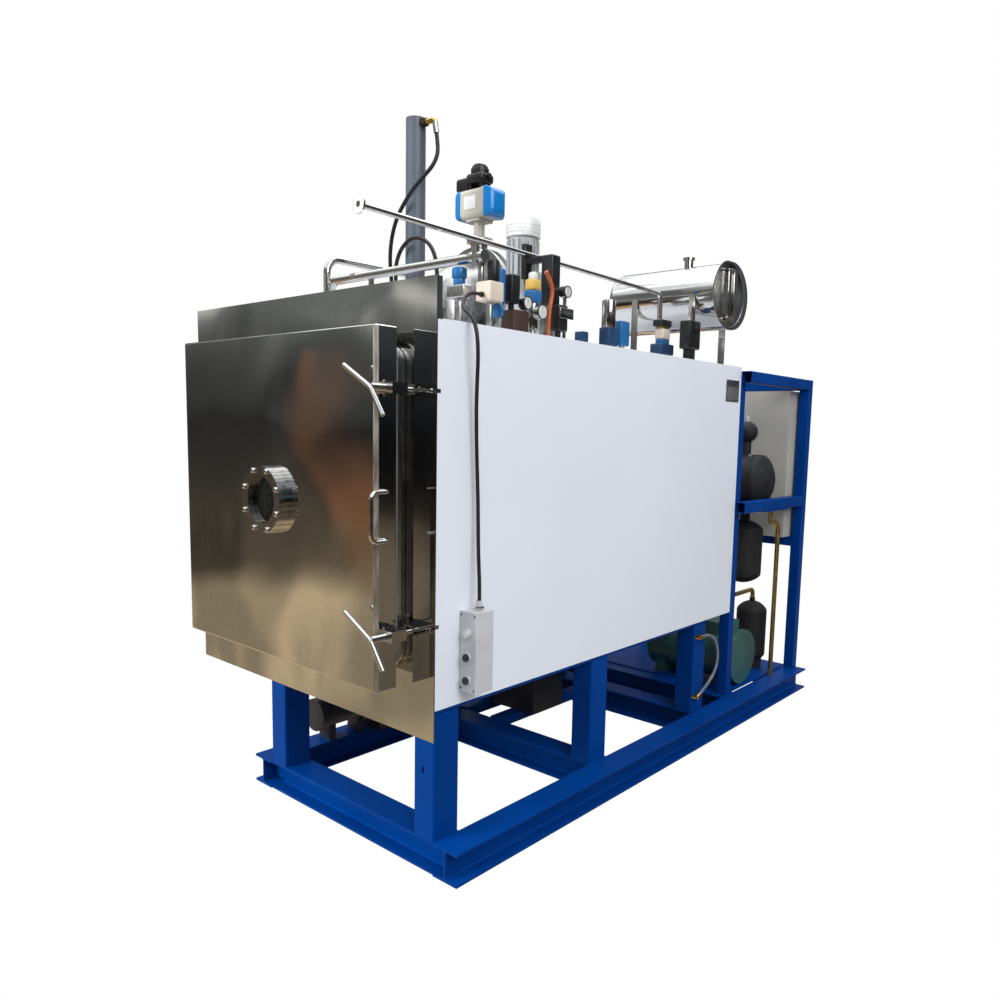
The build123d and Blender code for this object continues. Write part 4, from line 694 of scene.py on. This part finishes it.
# %% Door edge
door_low, door_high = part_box("door_shell")
slab("door_edge_fold", (door_high.x - 0.0002, door_low.y + 0.005, door_low.z + 0.006),
     (door_high.x + 0.0006, door_low.y + 0.023, door_high.z - 0.004), 0.0002, ground, body="door")
studs = ((1.129, 0.0015), (1.005, 0.0035))
for number, (height, half) in enumerate(studs, 1):
    slab(f"trim_stud_{number}", (0.5895, FRONT - 0.020, height - half), (0.5930, FRONT, height + half),
         0.0008, satin)
print("door shell:", [round(c, 3) for c in door_low], [round(c, 3) for c in door_high])

# %% [markdown]
# ### Tank end
# The tank is closed by a dished cover with a rolled rim, and a level glass stands on it. The rim is
# what an inset leaves when the middle is pushed back.

# %% Tank end
LEVEL_HALF, LEVEL_SPREAD, BLOCK_HALF = 0.098, 0.024, 0.006
tank_low, tank_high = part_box("water_tank")
tank_middle = Vector((0.584, FRONT + 1.675, 1.882))
turned("tank_end_rim", tank_middle - Vector((0.0004, 0, 0)), RIGHT, 0.1405, 0.0024,
       [("in", 0.0075), ("out", -0.0014)], tube_steel, sides=72)
for way, column, row in ((-1, "front", "low"), (1, "rear", "top")):
    turned(f"level_glass_tube_{column}", tank_middle + Vector((0.0095, way * LEVEL_SPREAD, -LEVEL_HALF)),
           UP, 0.0038, 2 * LEVEL_HALF, [("in", 0.001)], tube_steel, sides=20)
    slab(f"level_glass_block_{row}", tank_middle + Vector((0.0055, -0.029, way * LEVEL_HALF - BLOCK_HALF)),
         tank_middle + Vector((0.0145, 0.029, way * LEVEL_HALF + BLOCK_HALF)), 0.003, tube_steel)
print("tank box:", [round(c, 3) for c in tank_low], [round(c, 3) for c in tank_high])

# %% [markdown]
# ### Station screws and gland
# The lid of the push-button station is held by four screws, and the cable enters through a nut.

# %% Station screws
station_low, station_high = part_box("station_box")
lid_front = FRONT + 0.097
screw_places = [(x, z) for z in (0.010, 0.227) for x in (0.608, 0.662)]
for number, (x, z) in enumerate(screw_places, 1):
    turned(f"station_screw_{number}", (x, lid_front + 0.0005, station_low.z + z), AHEAD, 0.0032, 0.0012,
           [("in", 0.0014), ("out", -0.0005)], black_plastic, sides=20, soften=0.0002)
turned("station_gland_nut", (0.635, FRONT + 0.142, station_low.z + 0.239), UP, 0.0145, 0.009,
       [("in", 0.003), ("out", 0.002)], tube_steel, sides=6, soften=0.0006)
print("station box:", [round(c, 4) for c in station_low], [round(c, 4) for c in station_high])

# %% [markdown]
# ### Name plate
# A small metal plate is riveted to the casing high up near the rear. It is left blank.

# %% Name plate
plate_low = Vector((0.5995, FRONT + 1.662, 1.435))
plate_high = Vector((0.6012, FRONT + 1.780, 1.528))
slab("name_plate_blank", plate_low, plate_high, 0.0004, plate_grey)
slab("name_plate_field", plate_low + Vector((0.001, 0.008, 0.008)),
     plate_high + Vector((0.0003, -0.008, -0.030)), 0.0003, plate_field)
rivet_places = [(y, z) for z in (0.004, 0.089) for y in (0.004, 0.114)]
for number, (y, z) in enumerate(rivet_places, 1):
    turned(f"name_plate_rivet_{number}", plate_low + Vector((0.0016, y, z)), RIGHT, 0.002, 0.0008,
           [("in", 0.0008), ("out", 0.0003)], satin, sides=16, soften=0.0002)
print("plate:", [round(c, 3) for c in plate_low], [round(c, 3) for c in plate_high])

# %% [markdown]
# ## Studio
# Polished sheet shows the room, so the room matters as much as the metal. The camera sees a white
# floor and a white world. Mirrors see a plain hall instead: a tan floor, a dark band of distance,
# then grey walls and bright roof lights. It is a ramp by height with soft patches of noise in it.

# %% Floor
def mix_shaders(tree, factor, first, second):
    """Shows first where the factor is 0 and second where it is 1."""
    node = tree.nodes.new("ShaderNodeMixShader")
    link(tree, factor, node.inputs["Fac"])
    link(tree, first, node.inputs[1])
    link(tree, second, node.inputs[2])
    return node.outputs[0]


FLOOR_SIZE, FLOOR_HEIGHT = 60, -0.002
start()
bpy.ops.mesh.primitive_plane_add(size=FLOOR_SIZE, location=(0, 0, FLOOR_HEIGHT))
floor = bpy.context.object
floor.name = "studio_floor"
floor_finish, tree, shader = new_finish("studio_floor")
greys = ramp(tree, pattern(tree, 0.4), [(0.3, (0.20, 0.20, 0.20)), (0.7, (0.23, 0.23, 0.23))])
link(tree, greys, shader.inputs["Base Color"])
shader.inputs["Roughness"].default_value = 0.9
kinds = tree.nodes.new("ShaderNodeLightPath")
paper = tree.nodes.new("ShaderNodeEmission")
open_air = tree.nodes.new("ShaderNodeBsdfTransparent")
unmirrored = mix_shaders(tree, kinds.outputs["Is Glossy Ray"], shader.outputs[0], open_air.outputs[0])
white_below = mix_shaders(tree, kinds.outputs["Is Camera Ray"], unmirrored, paper.outputs[0])
surface = next(n for n in tree.nodes if n.type == "OUTPUT_MATERIAL")
link(tree, white_below, surface.inputs["Surface"])
floor.data.materials.append(floor_finish)
print("floor:", floor.name, "at", FLOOR_HEIGHT)

# %% World helpers
world = bpy.data.worlds.new("studio")
bpy.context.scene.world = world
world.use_nodes = True
sky = world.node_tree
sky.nodes.clear()


def sky_noise(scale, stretch):
    return pattern(sky, scale, stretch, 2.0, "Generated")


def maths(kind, a, b):
    node = sky.nodes.new("ShaderNodeMath")
    node.operation = kind
    for socket, value in zip(node.inputs, (a, b)):
        if isinstance(value, (int, float)):
            socket.default_value = value
        else:
            link(sky, value, socket)
    return node.outputs[0]


def to_unit(value):
    """Brings a direction's -1 to 1 on to 0 to 1."""
    return maths("ADD", maths("MULTIPLY", value, 0.5), 0.5)


def mixed(kind, a, b):
    node = sky.nodes.new("ShaderNodeMix")
    node.data_type = "RGBA"
    node.blend_type = kind
    node.inputs["Factor"].default_value = 1.0
    first, second = [n for n in node.inputs if n.type == "RGBA"]
    link(sky, a, first)
    link(sky, b, second)
    return next(n for n in node.outputs if n.type == "RGBA")


def background(colour, strength):
    node = sky.nodes.new("ShaderNodeBackground")
    node.inputs["Color"].default_value = (*colour, 1)
    node.inputs["Strength"].default_value = strength
    return node


# %% World
WAVER = 0.14
BLACK, WHITE = (0, 0, 0), (1, 1, 1)
rays = sky.nodes.new("ShaderNodeLightPath")
around = sky.nodes.new("ShaderNodeTexCoord")
direction = sky.nodes.new("ShaderNodeSeparateXYZ")
link(sky, around.outputs["Generated"], direction.inputs[0])
across = to_unit(direction.outputs["X"])
# Height in the mirror is pushed up and down a little by noise, so that no edge is straight.
waver = maths("MULTIPLY", maths("SUBTRACT", sky_noise(3.0, (1, 1, 2.2)), 0.5), WAVER)
height = to_unit(maths("ADD", direction.outputs["Z"], waver))
hall = ramp(sky, height, [
    (0.30, (0.50, 0.40, 0.26)), (0.405, (0.46, 0.36, 0.23)), (0.43, (0.10, 0.080, 0.055)),
    (0.47, (0.045, 0.040, 0.034)), (0.50, (0.030, 0.030, 0.030)), (0.54, (0.16, 0.165, 0.16)),
    (0.57, (0.34, 0.35, 0.34)), (0.62, (0.16, 0.165, 0.17)), (0.74, (0.30, 0.31, 0.32)),
    (0.80, (1.5, 1.55, 1.6)), (0.95, (1.1, 1.15, 1.2)),
])
# What stands in the hall shows as soft upright patches, and some rusty crates stand below the windows.
patches = ramp(sky, sky_noise(9.0, (1, 1, 0.40)), [(0.40, (0.62, 0.64, 0.65)), (0.60, (1.40, 1.38, 1.34))])
below_windows = spread(sky, height, 0.0, 1.0, start=0.56, end=0.53)
crate_places = maths("MULTIPLY", sky_noise(2.6, (1, 1, 0.8)), below_windows)
crates = ramp(sky, crate_places, [(0.50, BLACK), (0.54, (0.15, 0.058, 0.020))])
# A line of daylight lies between wall and roof, broken by gaps.
daylight = ramp(sky, height, [
    (0.552, BLACK), (0.560, (0.42, 0.41, 0.38)), (0.568, (0.30, 0.29, 0.27)), (0.580, BLACK)])
gaps = ramp(sky, sky_noise(7.0, (1, 1, 0.3)), [(0.47, BLACK), (0.55, WHITE)])
# Both show only in faces that look forward. Faces that look right see a darker side of the hall.
forward = ramp(sky, across, [(0.50, WHITE), (0.62, BLACK)])
right_shade = ramp(sky, across, [(0.55, WHITE), (0.70, (0.28, 0.29, 0.33))])
lively = mixed("MULTIPLY", mixed("ADD", crates, mixed("MULTIPLY", daylight, gaps)), forward)
walls = mixed("MULTIPLY", mixed("MULTIPLY", hall, patches), right_shade)
room = background(BLACK, 1.12)
link(sky, mixed("ADD", walls, lively), room.inputs["Color"])
plain = background((0.9, 0.94, 1.0), 0.60)
paper_white = background(WHITE, 1.0)
lit = mix_shaders(sky, rays.outputs["Is Glossy Ray"], plain.outputs[0], room.outputs[0])
seen = maths("MAXIMUM", rays.outputs["Is Camera Ray"], rays.outputs["Is Transmission Ray"])
world_output = sky.nodes.new("ShaderNodeOutputWorld")
link(sky, mix_shaders(sky, seen, lit, paper_white.outputs[0]), world_output.inputs["Surface"])
print("world nodes:", len(sky.nodes))


# %% Lamps
def softbox(name, place, aim, size, power):
    lamp = bpy.data.lights.new(name, "AREA")
    lamp.shape = "RECTANGLE"
    lamp.size = lamp.size_y = size
    lamp.energy = power
    holder = bpy.data.objects.new(name, lamp)
    bpy.context.collection.objects.link(holder)
    holder.location = place
    holder.rotation_euler = (Vector(aim) - Vector(place)).to_track_quat("-Z", "Y").to_euler()
    return holder


softbox("key_light", place=(5.5, -2.0, 5.0), aim=(0.3, 0, 1.0), size=4, power=258)
front_light = softbox("front_light", place=(-1.5, -6.0, 3.2), aim=(0, -1, 0.8), size=3, power=400)
front_light.visible_glossy = False
softbox("top_light", place=(0, 0.5, 6.5), aim=(0, 0, 1.5), size=6, power=190)
